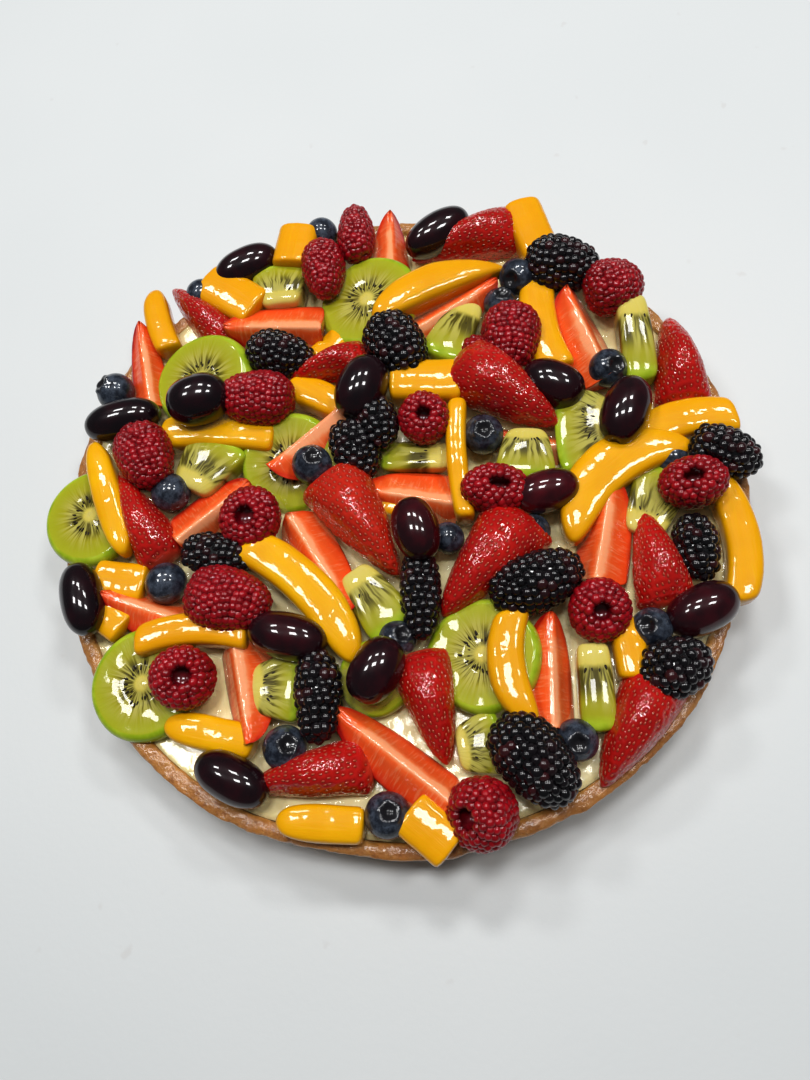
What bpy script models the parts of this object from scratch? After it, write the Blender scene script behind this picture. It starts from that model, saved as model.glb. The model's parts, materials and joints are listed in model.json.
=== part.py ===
"""Fruit tart, 28 cm across: a plain shell, pastry cream and a packed layer of cut fruit.

Units are millimetres inside the shape functions and metres in the finished meshes.
+Z is up, the tart stands on Z = 0 and its axis is the Z axis.

The shell, the cream, every grape, bramble berry, raspberry and skin-up strawberry and
the five large kiwi slices are solids of their own. The smaller and lower fruit is fused
to the cream that it lies on.
"""

import math

import bmesh
import bpy
from mathutils import Matrix, Vector
from mathutils.bvhtree import BVHTree

# Shell and cream
SHELL_RADIUS = 140.0
SHELL_HEIGHT = 25.0
SHELL_TAPER = 3.0
WALL = 4.6
RIM_ROUND = 1.6
BASE_THICKNESS = 3.5
CREAM_TOP = 23.0
SHELL_STEPS = 48
SHELL_WAVES = ((5, 0.7, 0.4), (9, 0.5, 2.1), (14, 0.35, 4.0))
RIM_WAVES = ((4, 0.5, 1.0), (11, 0.45, 3.2))

# Gap that neighbouring solids keep, how far the fused fruit sinks into the cream, and how
# much further down it is made before its underside is cut level
GAP = 0.3
SINK = 1.2
FOOT_SPARE = 0.6

# A coarse body that clears room for a piece is this much larger. It is swelled again for a
# node, and for fused fruit before and after that is thinned.
ROOM_GAP = 0.75
ROOM_SWELL = 1.08
NODE_ROOM_SWELL = 1.03
LOW_ROOM_SWELL = 1.14
THINNED_ROOM_SWELL = 1.04
NEAR = 2.0

# Overhanging fruit keeps this far off the shell wall
RIM_ROOM = 1.8

# Segments and rings of a round body, triangles that a fused piece may take, and the merge
# distances tried from coarse to fine
BODY_SIDES = (10, 6)
GRAPE_SIDES = (9, 7)
SMALL_SIDES = (7, 5)
MANGO_SIDES = (8, 5)
LOW_PIECE_TRIANGLES = 32
MERGE_STEPS = (0.25, 0.15, 0.1, 0.05, 0.02, 0.01, 0.0)

# Forms of the fruit
BRAMBLE_TAPER = 0.10
BRAMBLE_BUMP = 1.2
BRAMBLE_DEPTH = 0.95
RASPBERRY_TAPER = 0.16
RASPBERRY_BUMP = 0.9
RASPBERRY_HOLLOW = 6.0
SHOULDER = 0.15
WEDGE_HALF_ANGLE = 40.0
MANGO_BLUNT_END = 0.85
MANGO_BLUNT_SIDE = 0.6
BLOCK_CORNER = 1.6
BLOCK_SLANT = 0.18
BLOCK_TILT = 0.25
SLIM_CHUNK = 0.6
BLUEBERRY_DEPTH = 0.88
BLUEBERRY_DENT = 1.6

# Places are stated where a piece shows on the level READ_LEVEL, seen from SIGHT_POINT.
# A piece whose middle lies higher or lower sits on the same line of sight.
READ_LEVEL = 33.0
SIGHT_POINT = (35.5, -137.0, 328.0)

# x, y, height of the middle, turn, length, width
GRAPES = (
    (-67, 115, 32, 27, 31, 18),
    (-84, 46, 42, 15, 27, 22),
    (21, 126, 33, 35, 33, 18),
    (67, 43, 34, -28, 27, 20),
    (95, 29, 39, 68, 30, 19),
    (-117, 38, 35, 12, 33, 18),
    (-124, -42, 34, -73, 31, 17),
    (-13, 47, 40, 70, 29, 21),
    (9.5, -18.5, 40, -75, 26, 18),
    (61, -5, 36, 15, 26, 17),
    (114, -55, 33, 25, 28, 18),
    (-40, -60, 36, -15, 31, 18),
    (-58, -112, 32, -27, 30, 17),
    (-6, -74, 38, 60, 26, 19),
)

# x, y, height of the middle, turn of the tip, length, width
BRAMBLES = (
    (-49, 66, 35, -20, 32, 21),
    (2, 67, 37, -60, 33, 25),
    (75, 102.5, 35, -15, 33, 26),
    (-70, -26, 33, -12, 30, 18),
    (-6, 30, 38, -75, 25, 17),
    (-15, 18, 35, -68, 28, 20),
    (11, -45, 34, -88, 36, 16),
    (131, 8, 35, -28, 28, 20),
    (115, -31, 33, -85, 26, 17),
    (55, -42, 36, 20, 37, 23),
    (-27.5, -83, 35, -87, 35, 18),
    (50, -107, 35, -50, 37, 25),
    (102, -76, 33, 20, 27, 22),
)

# x, y, height of the middle, turn of the tip, lift of the tip, length, width, depth
RASPBERRIES = (
    (-16.5, 129, 35, 92, 0, 31, 17, 18),
    (-31, 110, 35, -82, 5, 31, 20, 20),
    (-59, 45, 38, 175, 0, 34, 24, 22),
    (51, 67, 36, -95, -5, 31, 25, 23),
    (96, 89.5, 35, 15, -5, 26, 25, 22),
    (-105, 20, 37, -65, 0, 31, 24, 21),
    (-64, -45, 36, -15, 0, 35, 26, 23),
    (-57, -11, 34, 60, -78, 20, 25, 26),
    (13.5, 30, 36, 100, -78, 20, 21, 22),
    (41, -4, 36, 180, -76, 21, 20, 28),
    (117, -5, 36, 5, -80, 21, 20, 26),
    (77, -54, 33, 90, -70, 20, 23, 24),
    (-79.5, -75, 34, 160, -75, 20, 24, 25),
    (32, -124.5, 34, 20, -45, 23, 25, 25),
)

# x, y, height of the cut face, turn of the tip, lift of the tip, roll, length, width, height
STRAWBERRIES = (
    (-84, 86, 25, 133, 0, 0, 52, 20, 15),
    (-27, 57, 31, 195, 0, 0, 37, 18, 13),
    (35, 117, 25, 192, 0, 0, 54, 25, 17),
    (47, 40, 31, -38, 0, 0, 53, 32, 17),
    (117, 49, 25, 92, 0, 0, 45, 24, 16),
    (-103, -8, 28, 120, 0, 0, 51, 21, 14),
    (-12, -15, 31, -57, 0, 0, 54, 29, 17),
    (36, -34.5, 30, -130, 0, 0, 53, 31, 17),
    (99, -35, 28, 98, 0, 0, 41, 23, 14),
    (-29, -111, 26, 190, 0, 0, 47, 22, 15),
    (14.5, -88, 28, -76, 0, 0, 43, 24, 14),
    (84.5, -97, 25, -122, 0, 0, 48, 25, 16),
)

# x, y, height of the middle, direction it leans to, lean, radius, thickness
KIWI_SLICES = (
    (-82, 55, 30, 200, 10, 22.5, 7),
    (-10, 90, 31, 180, 14, 23.5, 7),
    (-124, -7, 29, 190, 6, 21.5, 6),
    (-94, -77, 28, 230, 5, 22, 6),
    (34, -70, 30, 190, 10, 21.5, 7),
)
LOW_KIWI_SLICES = (
    (-41.5, 13, 28, 262, 16, 21.5, 7),
    (-6, -77, 29, 250, 15, 14.5, 6),
)

# x, y, height of the middle, turn from core to skin, lean, length, width, thickness
KIWI_CHUNKS = (
    (-50, 100, 29, 95, 0, 21, 27, 13),
    (28, 71, 30, -115, 6, 31, 21, 13),
    (102, 62, 31, -88, -4, 38, 14, 14),
    (-77, 13, 29, 60, 0, 25, 28, 12),
    (10, 12, 28, 178, 0, 27, 13, 10),
    (-7, -47, 29, -55, 0, 28, 21, 12),
    (54, 11, 30, -95, 0, 21, 25, 12),
    (101, -13, 28, 65, 0, 29, 23, 10),
    (-43, -80, 28, 0, 0, 18, 27, 11),
    (31, -102, 27, 10, 0, 16, 24, 9),
    (73, -82, 29, -90, 0, 30, 13, 12),
    (78, 22, 31, 180, -10, 21, 40, 8),
)

# x, y, height of the middle, turn, lift, length, width, thickness, sideways bend
MANGO_SLICES = (
    (-72, 98, 30, -35, 0, 31, 21, 14, 0),
    (-104.5, 87, 29, 108, 0, 35, 12, 12, 1),
    (-27, 67, 27, 45, 0, 15, 12, 9, 0),
    (63, 121, 31, 105, 0, 33, 17, 14, 0),
    (20, 94, 36, 24, -5, 64, 17, 15, 3),
    (65, 71, 30, 97, 0, 45, 16, 13, 2),
    (118, 21, 30, 10, 0, 38, 16, 12, 2),
    (-118, 1, 34, -69, 0, 55, 12, 12, 0),
    (-73, 27.5, 30, -5, 0, 50, 15, 13, 1),
    (-29, 40, 30, -32, 0, 35, 14, 12, 2),
    (27.5, 10, 33, 92, 0, 53, 8.5, 14, 1),
    (0, -8, 28, 0, 0, 13, 11, 9, 0),
    (-33, -45, 31, -47, 0, 66, 17, 15, 3),
    (89, -2, 31, 38, 0, 64, 22, 14, 4),
    (128.5, -28, 29, 93, 0, 52, 13, 11, -3),
    (45, -75, 33, 96, 0, 43, 14, 14, 3),
    (-77, -58.5, 32, 2, 0, 44, 13, 12, 2),
    (-67, -96, 28, -12, 0, 36, 13, 11, 0),
    (-25, -127.5, 29, -4, 0, 32, 13, 11, 0),
    (13.5, -130, 30, -40, 0, 20, 17, 12, 0),
    (86, -67, 29, 95, 0, 27, 12, 13, 0),
)
# x, y, height of the middle, turn, length, width, thickness
MANGO_BLOCKS = (
    (-43.5, 120.5, 31, 82, 22, 19, 18),
    (15, 47, 33, -4, 31, 19, 15),
    (-108, -36, 28, -8, 22, 16, 11),
    (-111, -51, 28, -35, 17, 14, 11),
)

# x, y, height of the ridge, turn of the tip, roll, length, radius
STRAWBERRY_WEDGES = (
    (-111, 68, 36, 103, 10, 44, 11),
    (-54, 82, 39, 175, -20, 44, 18),
    (0, 121, 37, 92, 10, 41, 13),
    (26, 86, 38, 32, 10, 48, 14),
    (84, 70, 39, 108, 10, 47, 18),
    (-38, 27, 40, 222, 15, 39, 20),
    (-74, -6, 37, 40, 15, 38, 16),
    (7, -4, 38, 168, -15, 39, 18),
    (-30, -30, 37, -58, 10, 49, 14),
    (57, 19, 31, 165, 0, 27, 11),
    (82, -20, 38, 76, -10, 43, 15),
    (-98, -46, 37, 160, 10, 40, 14),
    (-58, -80, 37, -77, 10, 40, 15),
    (0, -104, 38, 142, 10, 53, 14),
    (59, -75, 37, 88, 10, 42, 14),
)

# x, y, height of the middle, width
BLUEBERRIES = (
    (-32.5, 131, 32, 14.5),
    (-87, 101, 30, 15),
    (-122, 52.5, 32, 17),
    (55.5, 98, 33, 16.5),
    (47.5, 84.5, 31, 15),
    (90, 49, 33, 16),
    (-92, 2.5, 31, 16.5),
    (-33, 12, 37, 16.5),
    (-90, -37, 31, 17),
    (37.5, 21.5, 33, 16.5),
    (22, -23, 30, 13),
    (110, 6, 30, 14),
    (54.5, -22, 31, 14.5),
    (-39, -101.5, 31, 16.5),
    (2, -62.5, 30, 15),
    (-1.5, -125, 31, 16.5),
    (95, -61.5, 31, 15.5),
    (65, -101, 31, 15.5),
)

# Colour, roughness
LOOKS = {
    "crust": ((0.60, 0.30, 0.09), 0.45),
    "cream": ((0.86, 0.74, 0.42), 0.30),
    "grape": ((0.025, 0.008, 0.016), 0.12),
    "bramble": ((0.012, 0.008, 0.014), 0.22),
    "raspberry": ((0.38, 0.008, 0.022), 0.28),
    "strawberry": ((0.55, 0.015, 0.012), 0.22),
    "kiwi": ((0.42, 0.50, 0.03), 0.25),
}


def along_sight(x, y, z):
    """The point at height z on the line of sight through x, y on the reading level."""
    share = (z - READ_LEVEL) / (SIGHT_POINT[2] - READ_LEVEL)
    return Vector((x + share * (SIGHT_POINT[0] - x), y + share * (SIGHT_POINT[1] - y), z))


def pose(x, y, z, turn, lift=0.0, roll=0.0):
    """Local +X runs along the piece; turn is about Z, lift raises +X, roll is about +X."""
    turned = Matrix.Rotation(math.radians(turn), 4, "Z")
    lifted = Matrix.Rotation(math.radians(-lift), 4, "Y")
    rolled = Matrix.Rotation(math.radians(roll), 4, "X")
    return Matrix.Translation(along_sight(x, y, z)) @ turned @ lifted @ rolled


def leaning(x, y, z, toward, lean):
    """A flat piece whose upper face turns by lean toward a compass direction."""
    turned = Matrix.Rotation(math.radians(toward), 4, "Z")
    leaned = Matrix.Rotation(math.radians(lean), 4, "Y")
    back = Matrix.Rotation(math.radians(-toward), 4, "Z")
    return Matrix.Translation(along_sight(x, y, z)) @ turned @ leaned @ back


def round_body(sides, shape):
    """A sphere with its poles on X, reshaped by shape(along, around_y, around_z, odd)."""
    segments, rings = sides
    body = bmesh.new()
    bmesh.ops.create_uvsphere(body, u_segments=segments, v_segments=rings, radius=1.0)
    for vert in body.verts:
        across_y, across_z, along = vert.co
        ring = round(math.acos(max(-1.0, min(1.0, along))) / math.pi * rings)
        seat = round(math.atan2(across_z, across_y) / (2 * math.pi) * segments)
        vert.co = shape(along, across_y, across_z, (ring + seat) % 2 == 1)
    return body


def half(size, room):
    """Half of a size, or of the room that a coarse body needs to enclose it with a gap."""
    return size / 2 * ROOM_SWELL + ROOM_GAP if room else size / 2


def grape_body(length, width, room=False):
    def shape(along, across_y, across_z, odd):
        thick = half(width, room)
        return (half(length, room) * along, thick * across_y, thick * across_z)

    return round_body(SMALL_SIDES if room else GRAPE_SIDES, shape)


def berry_body(length, width, depth, taper, dent, bump, room):
    """A berry that tapers to its tip, with a bump on every other point and a dented base."""

    def shape(along, across_y, across_z, odd):
        relief = bump / width if odd or room else -bump / width
        swell = (1 - taper * along) * (1 + relief)
        x = half(length, room) * along
        if along < -0.99 and not room:
            x += dent
        return (x, half(width, room) * swell * across_y, half(depth, room) * swell * across_z)

    return round_body(SMALL_SIDES if room else BODY_SIDES, shape)


def bramble_body(length, width, room=False):
    depth = width * BRAMBLE_DEPTH
    return berry_body(length, width, depth, BRAMBLE_TAPER, 0.0, BRAMBLE_BUMP, room)


def raspberry_body(length, width, depth, room=False):
    return berry_body(length, width, depth, RASPBERRY_TAPER, RASPBERRY_HOLLOW, RASPBERRY_BUMP, room)


def strawberry_outline(along):
    """Share of the full width at a place from -1 at the stalk end to 1 at the tip."""
    place = (along + 1) / 2
    if place < SHOULDER:
        return math.sqrt(1 - (1 - place / SHOULDER) ** 2)
    return (1 - ((place - SHOULDER) / (1 - SHOULDER)) ** 1.7) ** 0.8


def strawberry_body(length, width, height, room=False):
    """A cone-like strawberry; its width lies along Y and its height along Z."""

    def shape(along, across_y, across_z, odd):
        ring = math.hypot(across_y, across_z)
        share = strawberry_outline(along) / ring if ring > 1e-4 else 0.0
        y = half(width, room) * share * across_y
        z = half(height * 2, room) * share * across_z
        return (half(length, room) * along, y, z)

    return round_body(SMALL_SIDES if room else BODY_SIDES, shape)


def cut_flat(body, point, normal):
    """Take away what lies on the normal's side of a plane and close the cut."""
    geometry = body.verts[:] + body.edges[:] + body.faces[:]
    cut = bmesh.ops.bisect_plane(
        body, geom=geometry, dist=1e-4, plane_co=point, plane_no=normal, clear_outer=True
    )
    edges = [part for part in cut["geom_cut"] if isinstance(part, bmesh.types.BMEdge)]
    if edges:
        bmesh.ops.holes_fill(body, edges=[edge for edge in body.edges if edge.is_boundary], sides=0)
    return body


def half_strawberry(length, width, height, room=False):
    body = strawberry_body(length, width, height, room)
    face = -ROOM_GAP if room else 0.0
    return cut_flat(body, (0, 0, face), (0, 0, -1))


def quarter_strawberry(length, radius):
    """A quarter that lies on its skin, with its two cut faces meeting in a ridge on X."""
    body = strawberry_body(length, radius * 2, radius)
    out = math.cos(math.radians(WEDGE_HALF_ANGLE))
    up = math.sin(math.radians(WEDGE_HALF_ANGLE))
    cut_flat(body, (0, 0, 0), (0, out, up))
    return cut_flat(body, (0, 0, 0), (0, -out, up))


def mango_body(length, width, thickness, bend):
    """A slice with blunt ends and flattened sides that bends sideways."""

    def blunt(value, power):
        return math.copysign(abs(value) ** power, value)

    def shape(along, across_y, across_z, odd):
        x = length / 2 * blunt(along, MANGO_BLUNT_END)
        y = width / 2 * blunt(across_y, MANGO_BLUNT_SIDE) - bend * (2 * along * along - 1)
        z = thickness / 2 * blunt(across_z, MANGO_BLUNT_SIDE)
        return (x, y, z)

    return round_body(MANGO_SIDES, shape)


def block_body(length, width, thickness):
    """A cut block with a slanted top and trimmed corners."""
    body = bmesh.new()
    bmesh.ops.create_cube(body, size=1.0)
    for vert in body.verts:
        x, y, z = vert.co
        slant = 1.0 - BLOCK_SLANT * (x + 0.5) * (z + 0.5)
        vert.co = (x * length, y * width * slant, z * thickness * (1 + BLOCK_TILT * y))
    bmesh.ops.bevel(body, geom=body.edges[:], offset=BLOCK_CORNER, segments=1, affect="EDGES")
    return body


def disc_body(radius, thickness, room=False):
    """A round slice, lying level."""
    body = bmesh.new()
    reach = radius + ROOM_GAP * 1.5 if room else radius
    depth = thickness + 2 * ROOM_GAP if room else thickness
    bmesh.ops.create_cone(
        body, cap_ends=True, segments=16, radius1=reach, radius2=reach, depth=depth
    )
    return body


def chunk_body(length, width, thickness):
    """A piece of a thick kiwi slice, from its core at -X out to the skin side at +X."""
    body = disc_body(length, thickness)
    bmesh.ops.translate(body, verts=body.verts, vec=(-length / 2, 0, 0))
    core_share = 0.9 if width < SLIM_CHUNK * length else 0.45
    slope = (1 - core_share) * width / 2 / length
    cut_flat(body, (-length / 2, 0, 0), (-1, 0, 0))
    cut_flat(body, (length / 2, width / 2, 0), (-slope, 1, 0))
    return cut_flat(body, (length / 2, -width / 2, 0), (-slope, -1, 0))


def blueberry_body(width):
    def shape(along, across_y, across_z, odd):
        dent = BLUEBERRY_DENT if along > 0.99 else 0.0
        x = width / 2 * BLUEBERRY_DEPTH * along - dent
        return (x, width / 2 * across_y, width / 2 * across_z)

    return round_body(SMALL_SIDES, shape)


def waves(angle, terms):
    return sum(size * math.sin(count * angle + start) for count, size, start in terms)


def merge_level(body, height):
    """Make one face of all that lies level at a height."""
    level = [face for face in body.faces if all(abs(v.co.z - height) < 0.01 for v in face.verts)]
    bmesh.ops.dissolve_faces(body, faces=level)


def lathed(name, profile):
    """A profile of radius and height, turned round Z."""
    mesh = bpy.data.meshes.new(name + "_profile")
    points = [(radius, 0.0, height) for radius, height in profile]
    edges = [(index, index + 1) for index in range(len(points) - 1)]
    mesh.from_pydata(points, edges, [])
    obj = bpy.data.objects.new(name + "_profile", mesh)
    bpy.context.scene.collection.objects.link(obj)
    screw = obj.modifiers.new("Turn", "SCREW")
    screw.steps = SHELL_STEPS
    screw.render_steps = SHELL_STEPS
    screw.use_merge_vertices = True
    screw.merge_threshold = 0.0001
    body = evaluated(obj)
    bpy.data.objects.remove(obj)
    bmesh.ops.remove_doubles(body, verts=body.verts, dist=0.01)
    bmesh.ops.recalc_face_normals(body, faces=body.faces)
    return body


def waved(name, profile):
    """A lathed body with the shell's slow waves and its level faces merged."""
    body = lathed(name, profile)
    for vert in body.verts:
        x, y, z = vert.co
        radius = math.hypot(x, y)
        angle = math.atan2(y, x)
        outward = radius / SHELL_RADIUS
        wave = waves(angle, SHELL_WAVES) * outward ** 4
        stretch = (radius + wave) / radius if radius > 1.0 else 1.0
        rim = max(0.0, z - CREAM_TOP) / (SHELL_HEIGHT - CREAM_TOP)
        vert.co = (x * stretch, y * stretch, z + rim * waves(angle, RIM_WAVES))
    for height in {profile[0][1], profile[-1][1]}:
        merge_level(body, height)
    return body


def evaluated(obj):
    """The object's mesh with its modifiers, as a bmesh in the object's own frame."""
    bpy.context.view_layer.update()
    mesh = bpy.data.meshes.new_from_object(obj.evaluated_get(bpy.context.evaluated_depsgraph_get()))
    body = bmesh.new()
    body.from_mesh(mesh)
    bpy.data.meshes.remove(mesh)
    return body


def shell_profile():
    outer_foot = SHELL_RADIUS - SHELL_TAPER
    inner_top = SHELL_RADIUS - WALL
    inner_foot = inner_top - SHELL_TAPER
    return (
        (0.0, BASE_THICKNESS),
        (inner_foot, BASE_THICKNESS),
        (inner_top, CREAM_TOP),
        (inner_top, SHELL_HEIGHT - RIM_ROUND / 2),
        (inner_top + RIM_ROUND, SHELL_HEIGHT),
        (SHELL_RADIUS - RIM_ROUND, SHELL_HEIGHT),
        (SHELL_RADIUS, SHELL_HEIGHT - RIM_ROUND),
        (outer_foot, 0.0),
        (0.0, 0.0),
    )


def cream_profile():
    foot = SHELL_RADIUS - WALL - SHELL_TAPER - GAP
    floor = BASE_THICKNESS + GAP
    return (
        (0.0, CREAM_TOP),
        (SHELL_RADIUS - WALL - GAP, CREAM_TOP),
        (foot, floor),
        (0.0, floor),
    )


def rim_cutter():
    """A plain ring round the shell wall that keeps overhanging fruit clear of it."""
    inner = SHELL_RADIUS - WALL - RIM_ROOM
    outer = SHELL_RADIUS + 12.0
    top = SHELL_HEIGHT + RIM_ROOM / 2 + GAP
    under = -5.0
    profile = ((inner, top), (outer, top), (outer, under), (inner, under), (inner, top))
    return as_mesh("rim_cutter", lathed("rim_cutter", profile))


class Piece:
    """A fruit piece with its body, the grown body that clears room for it, and its pose."""

    def __init__(self, name, look, body, clearance, matrix):
        self.name = name
        self.look = look
        self.matrix = matrix
        self.body = body
        self.clearance = clearance
        points = [matrix @ vert.co for vert in body.verts]
        self.low = Vector(min(point[axis] for point in points) for axis in range(3))
        self.high = Vector(max(point[axis] for point in points) for axis in range(3))
        self.reach = max(math.hypot(point.x, point.y) for point in points)

    def meets(self, other):
        return all(
            self.low[axis] - NEAR < other.high[axis] and other.low[axis] - NEAR < self.high[axis]
            for axis in range(3)
        )


def as_mesh(name, body):
    mesh = bpy.data.meshes.new(name)
    body.to_mesh(mesh)
    return mesh


def as_object(name, mesh, matrix, collection):
    obj = bpy.data.objects.new(name, mesh)
    obj.matrix_world = matrix
    collection.objects.link(obj)
    return obj


def islands(body):
    """The body's connected groups of faces."""
    left = set(body.faces)
    groups = []
    while left:
        start = left.pop()
        group = {start}
        stack = [start]
        while stack:
            face = stack.pop()
            for edge in face.edges:
                for near in edge.link_faces:
                    if near in left:
                        left.discard(near)
                        group.add(near)
                        stack.append(near)
        groups.append(group)
    return groups


def group_volume(group):
    total = 0.0
    for face in group:
        corners = [loop.vert.co for loop in face.loops]
        for index in range(1, len(corners) - 1):
            total += corners[0].dot(corners[index].cross(corners[index + 1])) / 6
    return abs(total)


def keep_largest(body):
    groups = sorted(islands(body), key=group_volume, reverse=True)
    for group in groups[1:]:
        bmesh.ops.delete(body, geom=list(group), context="FACES")
    loose = [vert for vert in body.verts if not vert.link_faces]
    bmesh.ops.delete(body, geom=loose, context="VERTS")
    return body


def closed(body):
    return all(edge.is_manifold for edge in body.edges)


def subtract(body, matrix, cutters, work):
    """Take the cutters, pairs of a mesh and a matrix, away from a body one by one."""
    target = as_object("target", as_mesh("target", body), matrix, work)
    removed = []
    for mesh, cutter_matrix in cutters:
        cutter = as_object("cutter", mesh, cutter_matrix, work)
        modifier = target.modifiers.new("Clear", "BOOLEAN")
        modifier.operation = "DIFFERENCE"
        modifier.object = cutter
        removed.append(cutter)
    result = evaluated(target)
    if not closed(result):
        for modifier in target.modifiers:
            modifier.solver = "MANIFOLD"
        result = evaluated(target)
    for obj in removed + [target]:
        bpy.data.objects.remove(obj)
    return result


def thinned(body, most):
    """The body with its smallest edges collapsed until it has at most so many triangles."""
    bmesh.ops.triangulate(body, faces=body.faces)
    if len(body.faces) <= most:
        return body
    obj = as_object("thinned", as_mesh("thinned", body), Matrix.Identity(4), bpy.context.scene.collection)
    modifier = obj.modifiers.new("Thin", "DECIMATE")
    modifier.ratio = most / len(body.faces)
    result = evaluated(obj)
    bpy.data.objects.remove(obj)
    body.free()
    return result


def mend(body):
    """Replace the faces at open or doubled edges by new ones that close the hole."""
    faulty = [edge for edge in body.edges if not edge.is_manifold]
    faces = {face for edge in faulty for face in edge.link_faces}
    bmesh.ops.delete(body, geom=list(faces), context="FACES")
    bmesh.ops.holes_fill(body, edges=[edge for edge in body.edges if edge.is_boundary], sides=0)
    bmesh.ops.triangulate(body, faces=body.faces)


def tidy(body):
    """Merge slivers and split every face into triangles, as coarsely as stays closed."""
    for distance in MERGE_STEPS:
        for method in ("BEAUTY", "EAR_CLIP"):
            trial = body.copy()
            if distance:
                bmesh.ops.remove_doubles(trial, verts=trial.verts, dist=distance)
                bmesh.ops.dissolve_degenerate(trial, edges=trial.edges, dist=distance / 4)
            bmesh.ops.triangulate(trial, faces=trial.faces, ngon_method=method)
            if not closed(trial):
                mend(trial)
            if closed(trial) and len(islands(trial)) == 1:
                body.free()
                return trial
            trial.free()
    raise RuntimeError("a piece does not close")


def cut_level(piece, height):
    """Cut off what lies lower than a height."""
    back = piece.matrix.inverted()
    point = back @ Vector((0, 0, height))
    normal = back.to_3x3() @ Vector((0, 0, -1))
    cut_flat(piece.body, point, normal)


def reach_cream(piece):
    """Stretch a piece that ends above the cream down into it, with its top kept."""
    foot = CREAM_TOP - SINK - FOOT_SPARE
    if piece.low.z <= foot:
        return
    top = piece.high.z
    stretch = (top - foot) / (top - piece.low.z)
    back = piece.matrix.inverted()
    for vert in piece.body.verts:
        point = piece.matrix @ vert.co
        point.z = top - stretch * (top - point.z)
        vert.co = back @ point
    piece.low.z = foot


def make_pieces():
    """Every fruit piece that is a node of its own."""
    pieces = []
    for number, (x, y, z, turn, length, width) in enumerate(GRAPES, 1):
        body = grape_body(length, width)
        room = grape_body(length, width, True)
        pieces.append(Piece(f"grape_{number:02d}", "grape", body, room, pose(x, y, z, turn)))
    for number, (x, y, z, turn, length, width) in enumerate(BRAMBLES, 1):
        body = bramble_body(length, width)
        room = bramble_body(length, width, True)
        pieces.append(Piece(f"bramble_{number:02d}", "bramble", body, room, pose(x, y, z, turn)))
    for number, row in enumerate(RASPBERRIES, 1):
        x, y, z, turn, lift, length, width, depth = row
        body = raspberry_body(length, width, depth)
        room = raspberry_body(length, width, depth, True)
        matrix = pose(x, y, z, turn, lift)
        pieces.append(Piece(f"raspberry_{number:02d}", "raspberry", body, room, matrix))
    for number, row in enumerate(STRAWBERRIES, 1):
        x, y, z, turn, lift, roll, length, width, height = row
        body = half_strawberry(length, width, height)
        room = half_strawberry(length, width, height, True)
        matrix = pose(x, y, z, turn, lift, roll)
        pieces.append(Piece(f"strawberry_{number:02d}", "strawberry", body, room, matrix))
    for number, (x, y, z, toward, lean, radius, thickness) in enumerate(KIWI_SLICES, 1):
        body = disc_body(radius, thickness)
        room = disc_body(radius, thickness, True)
        matrix = leaning(x, y, z, toward, lean)
        pieces.append(Piece(f"kiwi_slice_{number:02d}", "kiwi", body, room, matrix))
    return pieces


def make_low_pieces():
    """The fruit that is fused to the cream."""
    pieces = []

    def add(body, matrix):
        pieces.append(Piece("low", "cream", body, None, matrix))

    for x, y, z, turn, lift, length, width, thickness, bend in MANGO_SLICES:
        add(mango_body(length, width, thickness, bend), pose(x, y, z, turn, lift))
    for x, y, z, turn, length, width, thickness in MANGO_BLOCKS:
        add(block_body(length, width, thickness), pose(x, y, z, turn))
    for x, y, z, turn, roll, length, radius in STRAWBERRY_WEDGES:
        add(quarter_strawberry(length, radius), pose(x, y, z, turn, 0, roll))
    for x, y, z, width in BLUEBERRIES:
        add(blueberry_body(width), pose(x, y, z, 0, 80))
    for x, y, z, toward, lean, radius, thickness in LOW_KIWI_SLICES:
        add(disc_body(radius, thickness), leaning(x, y, z, toward, lean))
    for x, y, z, turn, lean, length, width, thickness in KIWI_CHUNKS:
        add(chunk_body(length, width, thickness), pose(x, y, z, turn, lean))
    return pieces


def surface_tree(body, matrix):
    moved = body.copy()
    moved.transform(matrix)
    tree = BVHTree.FromBMesh(moved)
    moved.free()
    return tree


def touching(piece, others):
    """Those of the others whose room the piece still reaches into."""
    tree = surface_tree(piece.body, piece.matrix)
    near = [other for other in others if piece.meets(other)]
    return [other for other in near if tree.overlap(surface_tree(other.clearance, other.matrix))]


def clear_neighbours(piece, above, ring, work, swell):
    """Cut a piece where the pieces above it and the shell's rim need their room."""
    cutters = []
    for other in above:
        if piece.meets(other):
            cutters.append((as_mesh("room", other.clearance), other.matrix @ Matrix.Scale(swell, 4)))
    if piece.reach > SHELL_RADIUS - WALL - RIM_ROOM - 1.0:
        cutters.append((ring, Matrix.Identity(4)))
    if cutters:
        piece.body = subtract(piece.body, piece.matrix, cutters, work)
        keep_largest(piece.body)


def fused_cream(low_pieces, work):
    """The cream with the low fruit joined to it by one Boolean union on a collection."""
    cream = as_object("cream", as_mesh("cream", waved("cream", cream_profile())), Matrix.Identity(4), work)
    group = bpy.data.collections.new("fused_fruit")
    bpy.context.scene.collection.children.link(group)
    for piece in low_pieces:
        as_object("fused", as_mesh("fused", piece.body), piece.matrix, group)
    union = cream.modifiers.new("Fuse", "BOOLEAN")
    union.operation = "UNION"
    union.operand_type = "COLLECTION"
    union.solver = "MANIFOLD"
    union.collection = group
    body = evaluated(cream)
    for obj in list(group.objects) + [cream]:
        bpy.data.objects.remove(obj)
    bpy.data.collections.remove(group)
    return keep_largest(body)


def material(look):
    colour, roughness = LOOKS[look]
    made = bpy.data.materials.new(look)
    made.use_nodes = True
    shader = made.node_tree.nodes["Principled BSDF"]
    shader.inputs["Base Color"].default_value = (*colour, 1.0)
    shader.inputs["Roughness"].default_value = roughness
    made.diffuse_color = (*colour, 1.0)
    return made


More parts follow.
